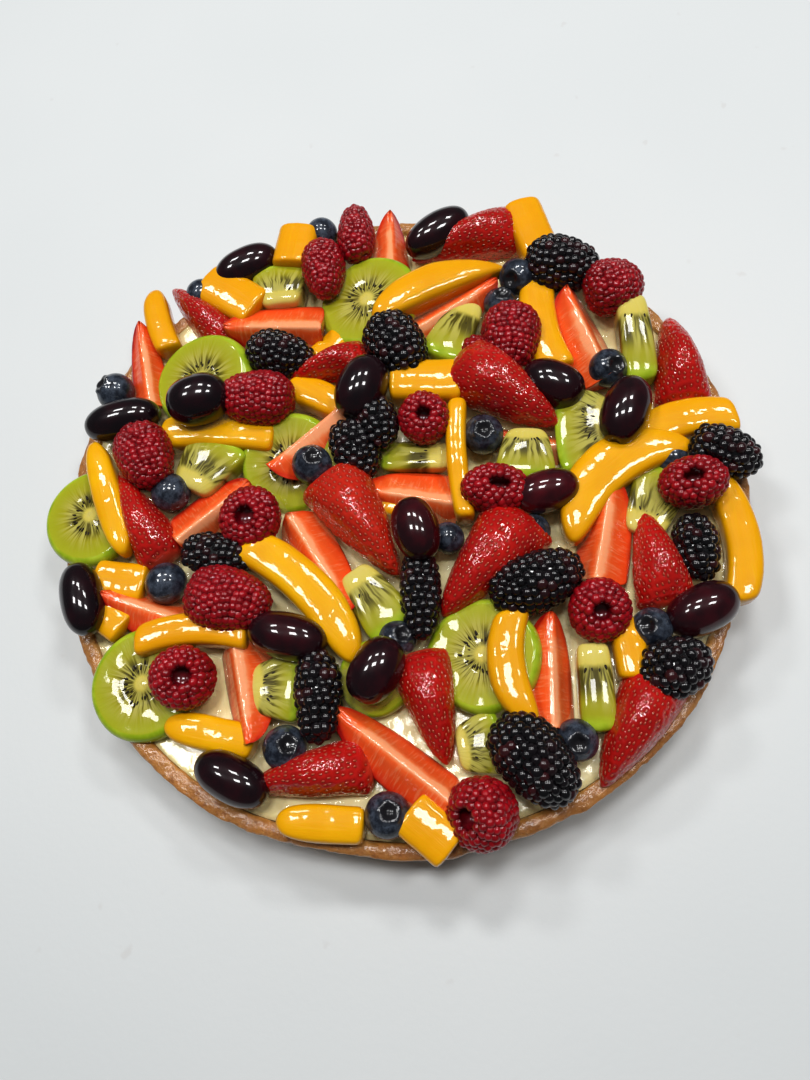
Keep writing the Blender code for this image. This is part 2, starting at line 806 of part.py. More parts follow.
def finish(name, body, matrix, surface, collection, parent):
    """Turn a body in millimetres into a named object in metres."""
    body = tidy(body)
    mesh = as_mesh(name, body)
    body.free()
    mesh.transform(Matrix.Scale(0.001, 4))
    mesh.shade_smooth()
    mesh.set_sharp_from_angle(angle=math.radians(40))
    mesh.materials.append(surface)
    placed = matrix.copy()
    placed.translation = matrix.translation * 0.001
    obj = as_object(name, mesh, placed, collection)
    obj.parent = parent
    return obj


def main():
    for obj in list(bpy.data.objects):
        bpy.data.objects.remove(obj)
    scene = bpy.context.scene
    tart = bpy.data.collections.new("fruit_tart")
    work = bpy.data.collections.new("work")
    scene.collection.children.link(tart)
    scene.collection.children.link(work)
    parent = bpy.data.objects.new("tart", None)
    tart.objects.link(parent)
    surfaces = {look: material(look) for look in LOOKS}

    ring = rim_cutter()
    nodes = sorted(make_pieces(), key=lambda piece: -piece.matrix.translation.z)
    for index, piece in enumerate(nodes):
        cut_level(piece, CREAM_TOP + GAP)
        clear_neighbours(piece, nodes[:index], ring, work, NODE_ROOM_SWELL)
    low_pieces = make_low_pieces()
    for piece in low_pieces:
        reach_cream(piece)
        cut_level(piece, CREAM_TOP - SINK)
        clear_neighbours(piece, nodes, ring, work, LOW_ROOM_SWELL)
        piece.body = thinned(tidy(piece.body), LOW_PIECE_TRIANGLES)
        clear_neighbours(piece, touching(piece, nodes), ring, work, THINNED_ROOM_SWELL)

    level = Matrix.Identity(4)
    finish("crust", waved("crust", shell_profile()), level, surfaces["crust"], tart, parent)
    finish("cream_with_fruit", fused_cream(low_pieces, work), level, surfaces["cream"], tart, parent)
    for piece in nodes:
        finish(piece.name, piece.body, piece.matrix, surfaces[piece.look], tart, parent)
    bpy.data.collections.remove(work)


main()
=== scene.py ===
"""Looks of the fruit tart: every fruit piece, the cream, the shell, the light and the camera.

Sizes and places are millimetres, in the part's own frame, until a mesh is made.
"""
import json
import math
import random

import bpy
import numpy as np
from mathutils import Matrix, Vector, kdtree, noise

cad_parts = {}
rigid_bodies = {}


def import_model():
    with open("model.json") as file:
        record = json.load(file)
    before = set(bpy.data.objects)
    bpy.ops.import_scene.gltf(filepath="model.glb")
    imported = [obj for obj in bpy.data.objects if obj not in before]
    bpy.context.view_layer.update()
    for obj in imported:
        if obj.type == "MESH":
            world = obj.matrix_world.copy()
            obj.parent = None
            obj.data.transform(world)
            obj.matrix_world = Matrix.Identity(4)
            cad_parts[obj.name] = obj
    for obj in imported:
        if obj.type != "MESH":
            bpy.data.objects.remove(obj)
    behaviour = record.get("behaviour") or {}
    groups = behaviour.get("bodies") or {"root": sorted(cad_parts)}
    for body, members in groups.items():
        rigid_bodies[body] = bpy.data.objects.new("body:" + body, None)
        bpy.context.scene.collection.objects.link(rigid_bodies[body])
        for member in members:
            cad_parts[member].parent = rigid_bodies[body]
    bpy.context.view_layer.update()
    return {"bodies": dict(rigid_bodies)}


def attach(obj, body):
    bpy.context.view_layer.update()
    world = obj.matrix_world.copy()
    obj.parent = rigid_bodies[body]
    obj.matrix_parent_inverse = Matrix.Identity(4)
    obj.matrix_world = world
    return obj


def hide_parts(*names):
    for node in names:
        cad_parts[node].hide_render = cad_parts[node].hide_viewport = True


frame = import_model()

BODY = frame["bodies"][0] if isinstance(frame["bodies"], list) else list(frame["bodies"])[0]

# Shell and cream
SHELL_RADIUS = 140.0
SHELL_HEIGHT = 25.0
SHELL_TAPER = 3.0
WALL = 6.0
CREAM_TOP = 23.0
SHELL_WAVES = ((5, 0.7, 0.4), (9, 0.5, 2.1), (14, 0.35, 4.0))
RIM_WAVES = ((4, 0.5, 1.0), (11, 0.45, 3.2))

# Places are stated where a piece shows on the level READ_LEVEL, seen from SIGHT_POINT.
# A piece whose middle lies higher or lower sits on the same line of sight.
READ_LEVEL = 33.0
SIGHT_POINT = (35.5, -137.0, 328.0)

# x, y, height of the middle, turn, length, width, redness
GRAPES = (
    (-67, 115, 32, 27, 31, 18, 0.1),
    (-84, 46, 42, 15, 27, 22, 0.0),
    (21, 126, 33, 35, 33, 18, 0.1),
    (67, 43, 34, -28, 27, 20, 0.1),
    (95, 29, 39, 68, 30, 19, 0.2),
    (-117, 38, 35, 12, 33, 18, 0.0),
    (-124, -42, 34, -73, 31, 17, 0.0),
    (-13, 47, 40, 70, 29, 21, 0.0),
    (9.5, -18.5, 40, -75, 26, 18, 0.5),
    (61, -5, 36, 15, 26, 17, 1.0),
    (114, -55, 33, 25, 28, 18, 0.4),
    (-40, -60, 36, -15, 31, 18, 0.3),
    (-58, -112, 32, -27, 30, 17, 0.1),
    (-6, -74, 38, 60, 26, 19, 0.2),
)

# x, y, height of the middle, turn of the tip, length, width
BRAMBLES = (
    (-49, 66, 35, -20, 32, 21),
    (2, 67, 37, -60, 33, 25),
    (75, 102.5, 35, -15, 33, 26),
    (-70, -26, 33, -12, 30, 18),
    (-6, 30, 38, -75, 25, 17),
    (-15, 18, 35, -68, 28, 20),
    (11, -45, 34, -88, 36, 16),
    (131, 8, 35, -28, 28, 20),
    (115, -31, 33, -85, 26, 17),
    (55, -42, 36, 20, 37, 23),
    (-27.5, -83, 35, -87, 35, 18),
    (50, -107, 35, -50, 37, 25),
    (102, -76, 33, 20, 27, 22),
)

# x, y, height of the middle, turn of the tip, lift of the tip, length, width, depth
RASPBERRIES = (
    (-16.5, 129, 35, 92, 0, 31, 17, 18),
    (-31, 110, 35, -82, 5, 31, 20, 20),
    (-59, 45, 38, 175, 0, 34, 24, 22),
    (51, 67, 36, -95, -5, 31, 25, 23),
    (96, 89.5, 35, 15, -5, 26, 25, 22),
    (-105, 20, 37, -65, 0, 31, 24, 21),
    (-64, -45, 36, -15, 0, 35, 26, 23),
    (-57, -11, 34, 60, -78, 20, 25, 26),
    (13.5, 30, 36, 100, -78, 20, 21, 22),
    (41, -4, 36, 180, -76, 21, 20, 28),
    (117, -5, 36, 5, -80, 21, 20, 26),
    (77, -54, 33, 90, -70, 20, 23, 24),
    (-79.5, -75, 34, 160, -75, 20, 24, 25),
    (32, -124.5, 34, 20, -45, 23, 25, 25),
)
OPEN_LIFT = -40

# x, y, height of the cut face, turn of the tip, length, width, height
STRAWBERRIES = (
    (-84, 86, 23.5, 133, 52, 20, 15),
    (-27, 57, 31, 195, 37, 18, 13),
    (35, 117, 25, 192, 54, 25, 17),
    (47, 40, 31, -38, 53, 32, 17),
    (117, 49, 25, 92, 45, 24, 16),
    (-103, -8, 28, 120, 51, 21, 14),
    (-12, -15, 31, -57, 54, 29, 17),
    (36, -34.5, 30, -130, 53, 31, 17),
    (99, -35, 28, 98, 41, 23, 14),
    (-29, -111, 26, 190, 47, 22, 15),
    (14.5, -88, 28, -76, 43, 24, 14),
    (84.5, -97, 25, -122, 48, 25, 16),
)

# x, y, height of the middle, direction it leans to, lean, radius, thickness
KIWI_SLICES = (
    (-82, 55, 31, 200, 10, 22.5, 7),
    (-10, 90, 31, 180, 14, 23.5, 7),
    (-124, -7, 29, 190, 6, 21.5, 6),
    (-94, -77, 28, 230, 5, 22, 6),
    (34, -70, 30, 190, 10, 21.5, 7),
)
LOW_KIWI_SLICES = (
    (-41.5, 13, 28, 262, 16, 21.5, 7),
    (-6, -77, 29, 250, 15, 14.5, 6),
)

# x, y, height of the middle, turn from core to skin, lean, length, width, thickness
KIWI_CHUNKS = (
    (-50, 100, 29, 95, 0, 21, 27, 13),
    (28, 71, 30, -115, 6, 31, 21, 13),
    (102, 62, 31, -88, -4, 38, 14, 14),
    (-77, 13, 29, 60, 0, 25, 28, 12),
    (10, 12, 28, 178, 0, 27, 13, 10),
    (-7, -47, 29, -55, 0, 28, 21, 12),
    (54, 11, 30, -95, 0, 21, 25, 12),
    (101, -13, 28, 65, 0, 29, 23, 10),
    (-43, -80, 28, 0, 0, 18, 27, 11),
    (31, -102, 27, 10, 0, 16, 24, 9),
    (73, -82, 29, -90, 0, 30, 13, 12),
    (78, 22, 31, 180, -10, 21, 40, 8),
)

# x, y, height of the middle, turn, lift, length, width, thickness, sideways bend and the forms
# of the rear and front ends: c cut straight, r round, t tapered
MANGO_SLICES = (
    (-72, 98, 30, -35, 0, 31, 21, 14, 0, "cc"),
    (-104.5, 87, 29, 108, 0, 35, 12, 12, 1, "cr"),
    (-27, 67, 27, 45, 0, 15, 12, 9, 0, "cc"),
    (63, 121, 31, 105, 0, 33, 17, 14, 0, "cc"),
    (20, 94, 36, 24, -5, 64, 17, 15, 3, "rt"),
    (65, 71, 30, 97, 0, 45, 16, 13, 2, "cc"),
    (118, 21, 30, 10, 0, 38, 16, 12, 2, "cc"),
    (-118, 1, 34, -69, 0, 55, 12, 12, 0, "rr"),
    (-73, 27.5, 30, -5, 0, 50, 15, 13, 1, "cc"),
    (-29, 40, 30, -32, 0, 35, 14, 12, 2, "ct"),
    (27.5, 10, 33, 92, 0, 53, 8.5, 14, 1, "cc"),
    (0, -8, 28, 0, 0, 13, 11, 9, 0, "cc"),
    (-33, -45, 31, -47, 0, 66, 17, 15, 3, "cr"),
    (89, -2, 31, 38, 0, 64, 21, 14, 6.5, "rr"),
    (128.5, -28, 29, 93, 0, 52, 13, 11, -3, "cc"),
    (45, -75, 33, 96, 0, 43, 14, 14, 3, "rc"),
    (-77, -58.5, 32, 2, 0, 44, 13, 12, 2, "cc"),
    (-67, -96, 28, -12, 0, 36, 13, 11, 0, "rc"),
    (-25, -127.5, 29, -4, 0, 32, 13, 11, 0, "rc"),
    (13.5, -130, 30, -40, 0, 20, 17, 12, 0, "cc"),
    (86, -67, 29, 95, 0, 27, 12, 13, 0, "ct"),
)
# x, y, height of the middle, turn, length, width, thickness
MANGO_BLOCKS = (
    (-43.5, 120.5, 31, 82, 22, 19, 18),
    (15, 47, 33, -4, 31, 19, 15),
    (-108, -36, 28, -8, 22, 16, 11),
    (-111, -51, 28, -35, 17, 14, 11),
)

# x, y, height of the ridge, turn of the tip, roll, length, radius and the paler cut face:
# 1 on the left of the tip's direction, -1 on its right
STRAWBERRY_WEDGES = (
    (-111, 68, 36, 103, 10, 44, 11, -1),
    (-54, 82, 39, 175, -20, 44, 18, -1),
    (0, 121, 37, 92, 10, 41, 13, 1),
    (26, 86, 38, 32, 10, 48, 14, -1),
    (84, 70, 39, 108, 10, 47, 18, 1),
    (-38, 27, 40, 222, 15, 39, 20, 1),
    (-74, -6, 37, 40, 15, 38, 16, -1),
    (7, -4, 38, 168, -15, 39, 18, -1),
    (-30, -30, 37, -58, 10, 49, 14, 1),
    (57, 19, 31, 165, 0, 27, 11, 1),
    (82, -20, 38, 76, -10, 43, 15, -1),
    (-98, -46, 37, 160, 10, 40, 14, -1),
    (-58, -80, 37, -77, 10, 40, 15, 1),
    (0, -104, 38, 142, 10, 53, 14, -1),
    (59, -75, 37, 88, 10, 42, 14, -1),
)

# x, y, height of the middle, width, and how far the crown shows from the middle in x and y
# (a blueberry whose crown doesn't show has it underneath)
BLUEBERRIES = (
    (-32.5, 131, 32, 14.5, None),
    (-87, 101, 30, 15, None),
    (-122, 52.5, 32, 17, (-5, 1.5)),
    (55.5, 98, 33, 16.5, (-3.5, -5)),
    (47.5, 84.5, 31, 15, (1, 1)),
    (90, 49, 33, 16, (2.5, -2.5)),
    (-92, 2.5, 31, 16.5, None),
    (-33, 12, 37, 16.5, (2, 0.5)),
    (-90, -37, 31, 17, None),
    (37.5, 21.5, 33, 16.5, (0.5, -1.5)),
    (22, -23, 30, 13, None),
    (110, 6, 30, 14, None),
    (54.5, -22, 31, 14.5, (-1.5, 2)),
    (-39, -101.5, 31, 16.5, (3, 0.5)),
    (2, -62.5, 30, 15, (3, 0.5)),
    (-1.5, -125, 31, 16.5, (1.5, 1)),
    (95, -61.5, 31, 15.5, (-3, -0.5)),
    (65, -101, 31, 15.5, (0, -2)),
)

# Camera
CAMERA_RIGHT = (0.9945, -0.0065, -0.1049)
CAMERA_UP = (0.0437, 0.9334, 0.3563)
CAMERA_BACK = (0.0955, -0.3589, 0.9285)
CAMERA_PLACE = (0.0355, -0.1370, 0.3279)
FOCAL_PIXELS = 812.0
PHOTO_HEIGHT = 1080.0
SENSOR = 36.0

# Ceiling panels (metres) and the light that the room gives from all round
PANEL_COLUMNS = 3
PANEL_ROWS = 2
PANEL_SPACING = 0.8
PANEL_SHIFT = 0.55
PANEL_HEIGHT = 1.6
PANEL_SIZE = (0.34, 0.26)
PANEL_WATTS = 6.9
ROOM_LIGHT = 0.10
EXPOSURE = 0.2
GAMMA = 0.88

# Glaze in the gaps
GLAZE_GRID = 1.1
GLAZE_SPREAD = 3.2
GLAZE_DROP = 4.2
GLAZE_FILM = 0.7
GLAZE_TUCK = 1.2

# Fine detail of the fruit
BRAMBLE_PITCH = 3.6
BRAMBLE_SINK = 0.25
BRAMBLE_FILL = 1.0
RASPBERRY_PITCH = 2.75
RASPBERRY_SINK = 0.66
RASPBERRY_FILL = 1.16
BEAD_SIZE = (0.56, 0.73)
HOLLOW_START = 0.92
HOLLOW_DEPTH = 0.34
HOLLOW_CLEAR = 8.0
HIDDEN_RASPBERRY = (37.5, 58.5, 33, -60, 0, 20, 15, 14)
ACHENE_PITCH = 2.7
PIT_DEPTH = 0.65
KIWI_FACE = 0.86
CHUNK_CORE = 0.28
WEDGE_SWELL = 1.1
RIDGE_ROUNDING = 2.2
MANGO_ENDS = {"c": (18.0, 3.0), "r": (3.0, 2.0), "t": (1.5, 1.4)}

TO_METRES = 0.001
FLOOR_SIZE = 20.0


# Placing

def along_sight(x, y, z):
    """The point at height z on the line of sight through x, y on the reading level."""
    share = (z - READ_LEVEL) / (SIGHT_POINT[2] - READ_LEVEL)
    return Vector((x + share * (SIGHT_POINT[0] - x), y + share * (SIGHT_POINT[1] - y), z))


def pose(x, y, z, turn, lift=0.0, roll=0.0):
    """Local +X runs along the piece; turn is about Z, lift raises +X, roll is about +X."""
    turned = Matrix.Rotation(math.radians(turn), 4, "Z")
    lifted = Matrix.Rotation(math.radians(-lift), 4, "Y")
    rolled = Matrix.Rotation(math.radians(roll), 4, "X")
    return Matrix.Translation(along_sight(x, y, z)) @ turned @ lifted @ rolled


def leaning(x, y, z, toward, lean):
    """A flat piece whose upper face turns by lean toward a compass direction."""
    turned = Matrix.Rotation(math.radians(toward), 4, "Z")
    leaned = Matrix.Rotation(math.radians(lean), 4, "Y")
    back = Matrix.Rotation(math.radians(-toward), 4, "Z")
    return Matrix.Translation(along_sight(x, y, z)) @ turned @ leaned @ back


# Shapes as arrays

class Shape:
    """Points in millimetres, faces, a material number for each face and values for each point."""

    def __init__(self, points, faces, number=0, **values):
        self.points = np.asarray(points, dtype=float)
        self.faces = [tuple(face) for face in faces]
        self.numbers = [number] * len(self.faces)
        self.values = {key: np.broadcast_to(value, len(self.points)) for key, value in values.items()}

    def moved(self, matrix):
        turn = np.array(matrix.to_3x3())
        self.points = self.points @ turn.T + np.array(matrix.translation)
        return self


def joined(shapes):
    """One shape of several. A value that one of them lacks is 0 there."""
    keys = sorted({key for shape in shapes for key in shape.values})
    whole = Shape(np.vstack([shape.points for shape in shapes]), [])
    start = 0
    for shape in shapes:
        whole.faces.extend(tuple(start + corner for corner in face) for face in shape.faces)
        whole.numbers.extend(shape.numbers)
        start += len(shape.points)
    for key in keys:
        rows = [shape.values.get(key, np.zeros(len(shape.points))) for shape in shapes]
        whole.values[key] = np.concatenate(rows)
    return whole


def ring_faces(rows, columns, first=0):
    """Quads between closed rings of points."""
    here = first + np.arange(rows * columns).reshape(rows, columns)
    there = np.roll(here, -1, axis=1)
    quads = np.stack([here[:-1], here[1:], there[1:], there[:-1]], axis=-1)
    return quads.reshape(-1, 4).tolist()


def round_grid(segments, rings):
    """Points of a unit sphere with its poles on X, and its faces."""
    theta = np.pi * np.arange(1, rings) / rings
    phi = 2 * np.pi * np.arange(segments) / segments
    x = np.repeat(np.cos(theta)[:, None], segments, axis=1)
    y = np.sin(theta)[:, None] * np.cos(phi)[None]
    z = np.sin(theta)[:, None] * np.sin(phi)[None]
    middle = np.stack([x, y, z], axis=-1).reshape(-1, 3)
    points = np.vstack([[[1.0, 0.0, 0.0]], middle, [[-1.0, 0.0, 0.0]]])
    last = len(points) - 1
    start = last - segments
    faces = [(0, 1 + seat, 1 + (seat + 1) % segments) for seat in range(segments)]
    faces += ring_faces(rings - 1, segments, 1)
    faces += [(last, start + (seat + 1) % segments, start + seat) for seat in range(segments)]
    return points, faces


def lathe_grid(profile, segments):
    """A closed profile of radius and height turned round Z, its ends on the axis."""
    inner = np.array(profile[1:-1])
    phi = 2 * np.pi * np.arange(segments) / segments
    x = inner[:, 0][:, None] * np.cos(phi)[None]
    y = inner[:, 0][:, None] * np.sin(phi)[None]
    z = np.repeat(inner[:, 1][:, None], segments, axis=1)
    middle = np.stack([x, y, z], axis=-1).reshape(-1, 3)
    points = np.vstack([[[0, 0, profile[0][1]]], middle, [[0, 0, profile[-1][1]]]])
    last = len(points) - 1
    start = last - segments
    faces = [(0, 1 + seat, 1 + (seat + 1) % segments) for seat in range(segments)]
    faces += ring_faces(len(inner), segments, 1)
    faces += [(last, start + (seat + 1) % segments, start + seat) for seat in range(segments)]
    return points, faces


def rough(points, scale, seed):
    """Smooth noise from -1 to 1 at each point, with waves of about scale millimetres."""
    shift = Vector((seed * 7.31, seed * 3.77, seed * 5.13))
    return np.array([noise.noise(Vector(point) / scale + shift) for point in points])


def outward(points, centre=0.0):
    """Unit directions from the X axis, or from the centre, through each point."""
    rays = points - centre
    length = np.linalg.norm(rays, axis=1, keepdims=True)
    return rays / np.maximum(length, 1e-6)


def blunt(value, power):
    return np.sign(value) * np.abs(value) ** power


def superellipse(share, power):
    return np.maximum(0.0, 1 - np.abs(share) ** power) ** (1 / power)


# Making objects

def make_piece(name, shape, materials, matrix, nodes):
    """A mesh object in metres that rides on the tart and stands for the named nodes."""
    mesh = bpy.data.meshes.new(name)
    mesh.from_pydata((shape.points * TO_METRES).tolist(), [], shape.faces)
    mesh.polygons.foreach_set("material_index", shape.numbers)
    for key, value in shape.values.items():
        layer = mesh.attributes.new(key, "FLOAT", "POINT")
        layer.data.foreach_set("value", np.ascontiguousarray(value, dtype=np.float32))
    mesh.shade_smooth()
    for material in materials:
        mesh.materials.append(material)
    obj = bpy.data.objects.new(name, mesh)
    bpy.context.scene.collection.objects.link(obj)
    placed = matrix.copy()
    placed.translation = matrix.translation * TO_METRES
    obj.matrix_world = placed
    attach(obj, BODY)
    if nodes:
        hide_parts(*nodes)
    return obj


# Materials

class Surface:
    """A Principled material whose colour and relief are built node by node."""

    def __init__(self, name, roughness, coat=0.0, coat_roughness=0.05, **settings):
        self.material = bpy.data.materials.new(name)
        self.material.use_nodes = True
        self.tree = self.material.node_tree
        self.shader = self.tree.nodes["Principled BSDF"]
        self.set_socket("Roughness", roughness)
        self.set_socket("Coat Weight", coat)
        self.set_socket("Coat Roughness", coat_roughness)
        self.set_socket("Coat IOR", 1.5)
        for key, value in settings.items():
            self.set_socket(key.replace("_", " ").title(), value)

    def set_socket(self, name, value):
        self.shader.inputs[name].default_value = value

    def add(self, kind, links=None, **settings):
        node = self.tree.nodes.new(kind)
        for key, value in settings.items():
            setattr(node, key, value)
        for socket, source in (links or {}).items():
            self.feed(node.inputs[socket], source)
        return node

    def feed(self, socket, source):
        if isinstance(source, bpy.types.NodeSocket):
            self.tree.links.new(source, socket)
        elif isinstance(source, tuple) and len(source) == 3 and socket.type == "RGBA":
            socket.default_value = (*source, 1.0)
        else:
            socket.default_value = source

    def millimetres(self):
        """The piece's own coordinates in millimetres."""
        place = self.add("ShaderNodeTexCoord").outputs["Object"]
        scaled = self.add("ShaderNodeVectorMath", {0: place, "Scale": 1000.0}, operation="SCALE")
        return scaled.outputs["Vector"]

    def stretched(self, factors):
        """The piece's own coordinates, multiplied by a factor for each axis."""
        node = self.add("ShaderNodeVectorMath", {0: self.millimetres(), 1: factors}, operation="MULTIPLY")
        return node.outputs["Vector"]

    def attribute(self, name):
        return self.add("ShaderNodeAttribute", attribute_name=name).outputs["Fac"]

    def piece_number(self):
        """A value from 0 to 100 that differs from piece to piece."""
        chance = self.add("ShaderNodeObjectInfo").outputs["Random"]
        return self.maths("MULTIPLY", chance, 100.0)

    def noise(self, size, detail=3.0, vector=None, roughness=0.55):
        """Noise from 0 to 1 with spots of about size millimetres, its own on each piece."""
        links = {"Vector": vector or self.millimetres(), "W": self.piece_number(),
                 "Scale": 1.0 / size, "Detail": detail, "Roughness": roughness}
        return self.add("ShaderNodeTexNoise", links, noise_dimensions="4D").outputs["Fac"]

    def maths(self, operation, first, second=0.0, third=0.0, clamp=False):
        links = {0: first, 1: second, 2: third}
        return self.add("ShaderNodeMath", links, operation=operation, use_clamp=clamp).outputs["Value"]

    def between(self, value, low, high):
        """0 below low, 1 above high and smooth between them."""
        links = {"Value": value, "From Min": low, "From Max": high}
        node = self.add("ShaderNodeMapRange", links, interpolation_type="SMOOTHSTEP")
        return node.outputs["Result"]

    def mix(self, factor, first, second, blend="MIX"):
        node = self.add("ShaderNodeMix", data_type="RGBA", blend_type=blend)
        self.feed(node.inputs["Factor"], factor)
        self.feed(node.inputs[6], first)
        self.feed(node.inputs[7], second)
        return node.outputs[2]

    def ramp(self, value, stops):
        node = self.add("ShaderNodeValToRGB", {"Fac": value})
        elements = node.color_ramp.elements
        while len(elements) < len(stops):
            elements.new(0.5)
        for element, (position, colour) in zip(elements, stops):
            element.position = position
            element.color = (*colour, 1.0)
        return node.outputs["Color"]

    def bump(self, height, depth, strength=1.0, under=None):
        """A relief of so many millimetres on top of another one."""
        links = {"Height": height, "Strength": strength, "Distance": depth * TO_METRES}
        if under is not None:
            links["Normal"] = under
        return self.add("ShaderNodeBump", links).outputs["Normal"]

    def colour(self, source):
        self.feed(self.shader.inputs["Base Color"], source)

    def roughness(self, source):
        self.feed(self.shader.inputs["Roughness"], source)

    def relief(self, normal, coat=None):
        self.feed(self.shader.inputs["Normal"], normal)
        self.feed(self.shader.inputs["Coat Normal"], coat or normal)

    def glaze(self, depth=0.25, size=4.0):
        """The slow ripple of the clear glaze over a piece."""
        slow = self.bump(self.noise(size, 1.0), depth)
        return self.bump(self.noise(size / 4, 1.0), depth / 16, under=slow)


def grape_skin():
    """Near-black purple skin, redder in patches, with a thick clear glaze."""
    skin = Surface("grape_skin", 0.30, 1.0, 0.02)
    skin.set_socket("Specular IOR Level", 0.1)
    spots = skin.between(skin.noise(9.0), 0.35, 0.7)
    dark = skin.mix(spots, (0.005, 0.002, 0.004), (0.016, 0.002, 0.005))
    warm = skin.mix(spots, (0.030, 0.002, 0.005), (0.085, 0.003, 0.008))
    specks = skin.between(skin.noise(0.8), 0.68, 0.75)
    base = skin.mix(skin.attribute("warmth"), dark, warm)
    skin.colour(skin.mix(skin.maths("MULTIPLY", specks, 0.2), base, (0.12, 0.05, 0.05)))
    skin.relief(skin.bump(skin.noise(2.0), 0.03), skin.glaze(0.12, 5.0))
    return skin.material


def bramble_skin():
    skin = Surface("bramble_skin", 0.35, 1.0, 0.03)
    skin.set_socket("Specular IOR Level", 0.1)
    skin.colour(skin.ramp(skin.attribute("tone"), (
        (0.00, (0.003, 0.003, 0.004)),
        (0.80, (0.007, 0.004, 0.006)),
        (1.00, (0.040, 0.006, 0.008)),
    )))
    skin.relief(skin.bump(skin.noise(0.9), 0.05), skin.glaze(0.03, 2.4))
    return skin.material


def raspberry_skin():
    skin = Surface("raspberry_skin", 0.32, 0.8, 0.04, subsurface_weight=0.10, subsurface_scale=0.003)
    skin.set_socket("Subsurface Radius", (1.0, 0.12, 0.10))
    skin.set_socket("Specular IOR Level", 0.1)
    bead = skin.mix(skin.attribute("tone"), (0.21, 0.001, 0.005), (0.38, 0.004, 0.011))
    # Painted shade: the height attribute darkens the bases of the drupelets and the core between them, where
    # shade falls in the gaps.
    bead_with_painted_shade = skin.mix(skin.attribute("height"), (0.055, 0.001, 0.003), bead)
    skin.colour(skin.mix(skin.attribute("hollow"), bead_with_painted_shade, (0.19, 0.002, 0.009)))
    skin.relief(skin.bump(skin.noise(0.7), 0.05), skin.glaze(0.12, 2.2))
    return skin.material


def strawberry_skin():
    """Deep red skin; its glaze lies unevenly, so that highlights break into short curls."""
    skin = Surface("strawberry_skin", 0.30, 1.0, 0.04, subsurface_weight=0.05, subsurface_scale=0.003)
    skin.set_socket("Subsurface Radius", (1.0, 0.15, 0.1))
    skin.set_socket("Specular IOR Level", 0.1)
    patches = skin.between(skin.noise(12.0, 2.0), 0.3, 0.75)
    red = skin.mix(patches, (0.37, 0.003, 0.004), (0.55, 0.010, 0.007))
    bright = skin.mix(skin.attribute("warmth"), red, (0.60, 0.035, 0.010))
    shoulder = skin.mix(skin.attribute("stalk"), bright, (0.55, 0.07, 0.03))
    # Painted shade: the skin is darkened in the seed pits, where shade falls.
    skin.colour(skin.mix(skin.maths("MULTIPLY", skin.attribute("pit"), 0.5), shoulder, (0.16, 0.001, 0.002)))
    skin.relief(skin.bump(skin.noise(1.6), 0.10), skin.glaze(0.46, 2.7))
    return skin.material


def achene_skin():
    skin = Surface("achene", 0.35, 1.0, 0.05)
    skin.colour(skin.mix(skin.noise(6.0), (0.30, 0.02, 0.008), (0.52, 0.11, 0.035)))
    skin.relief(skin.bump(skin.noise(0.5), 0.05))
    return skin.material


def strawberry_flesh():
    """Cut flesh: pale at the core, orange-red outwards, with fibres from core to skin."""
    flesh = Surface("strawberry_flesh", 0.32, 1.0, 0.05, subsurface_weight=0.10, subsurface_scale=0.003)
    flesh.set_socket("Subsurface Radius", (1.0, 0.2, 0.1))
    flesh.set_socket("Specular IOR Level", 0.1)
    across = flesh.attribute("across")
    depth = flesh.maths("MULTIPLY_ADD", flesh.attribute("pale"), -0.24, across)
    wobble = flesh.maths("MULTIPLY_ADD", flesh.noise(5.0), 0.26, flesh.maths("SUBTRACT", depth, 0.10))
    base = flesh.ramp(wobble, (
        (0.00, (0.88, 0.36, 0.17)),
        (0.07, (0.86, 0.22, 0.072)),
        (0.18, (0.84, 0.130, 0.026)),
        (0.62, (0.80, 0.085, 0.014)),
        (0.87, (0.68, 0.042, 0.009)),
        (1.00, (0.40, 0.007, 0.005)),
    ))
    fibres = flesh.noise(1.0, 2.0, flesh.stretched((1.05, 0.14, 0.14)))
    inner = flesh.maths("SUBTRACT", 1.0, flesh.between(across, 0.6, 0.95))
    share = flesh.maths("MULTIPLY", flesh.between(fibres, 0.50, 0.66), flesh.maths("MULTIPLY", inner, 0.30))
    flesh.colour(flesh.mix(share, base, (0.92, 0.38, 0.18)))
    flesh.relief(flesh.bump(fibres, 0.25), flesh.glaze(0.25, 4.0))
    return flesh.material


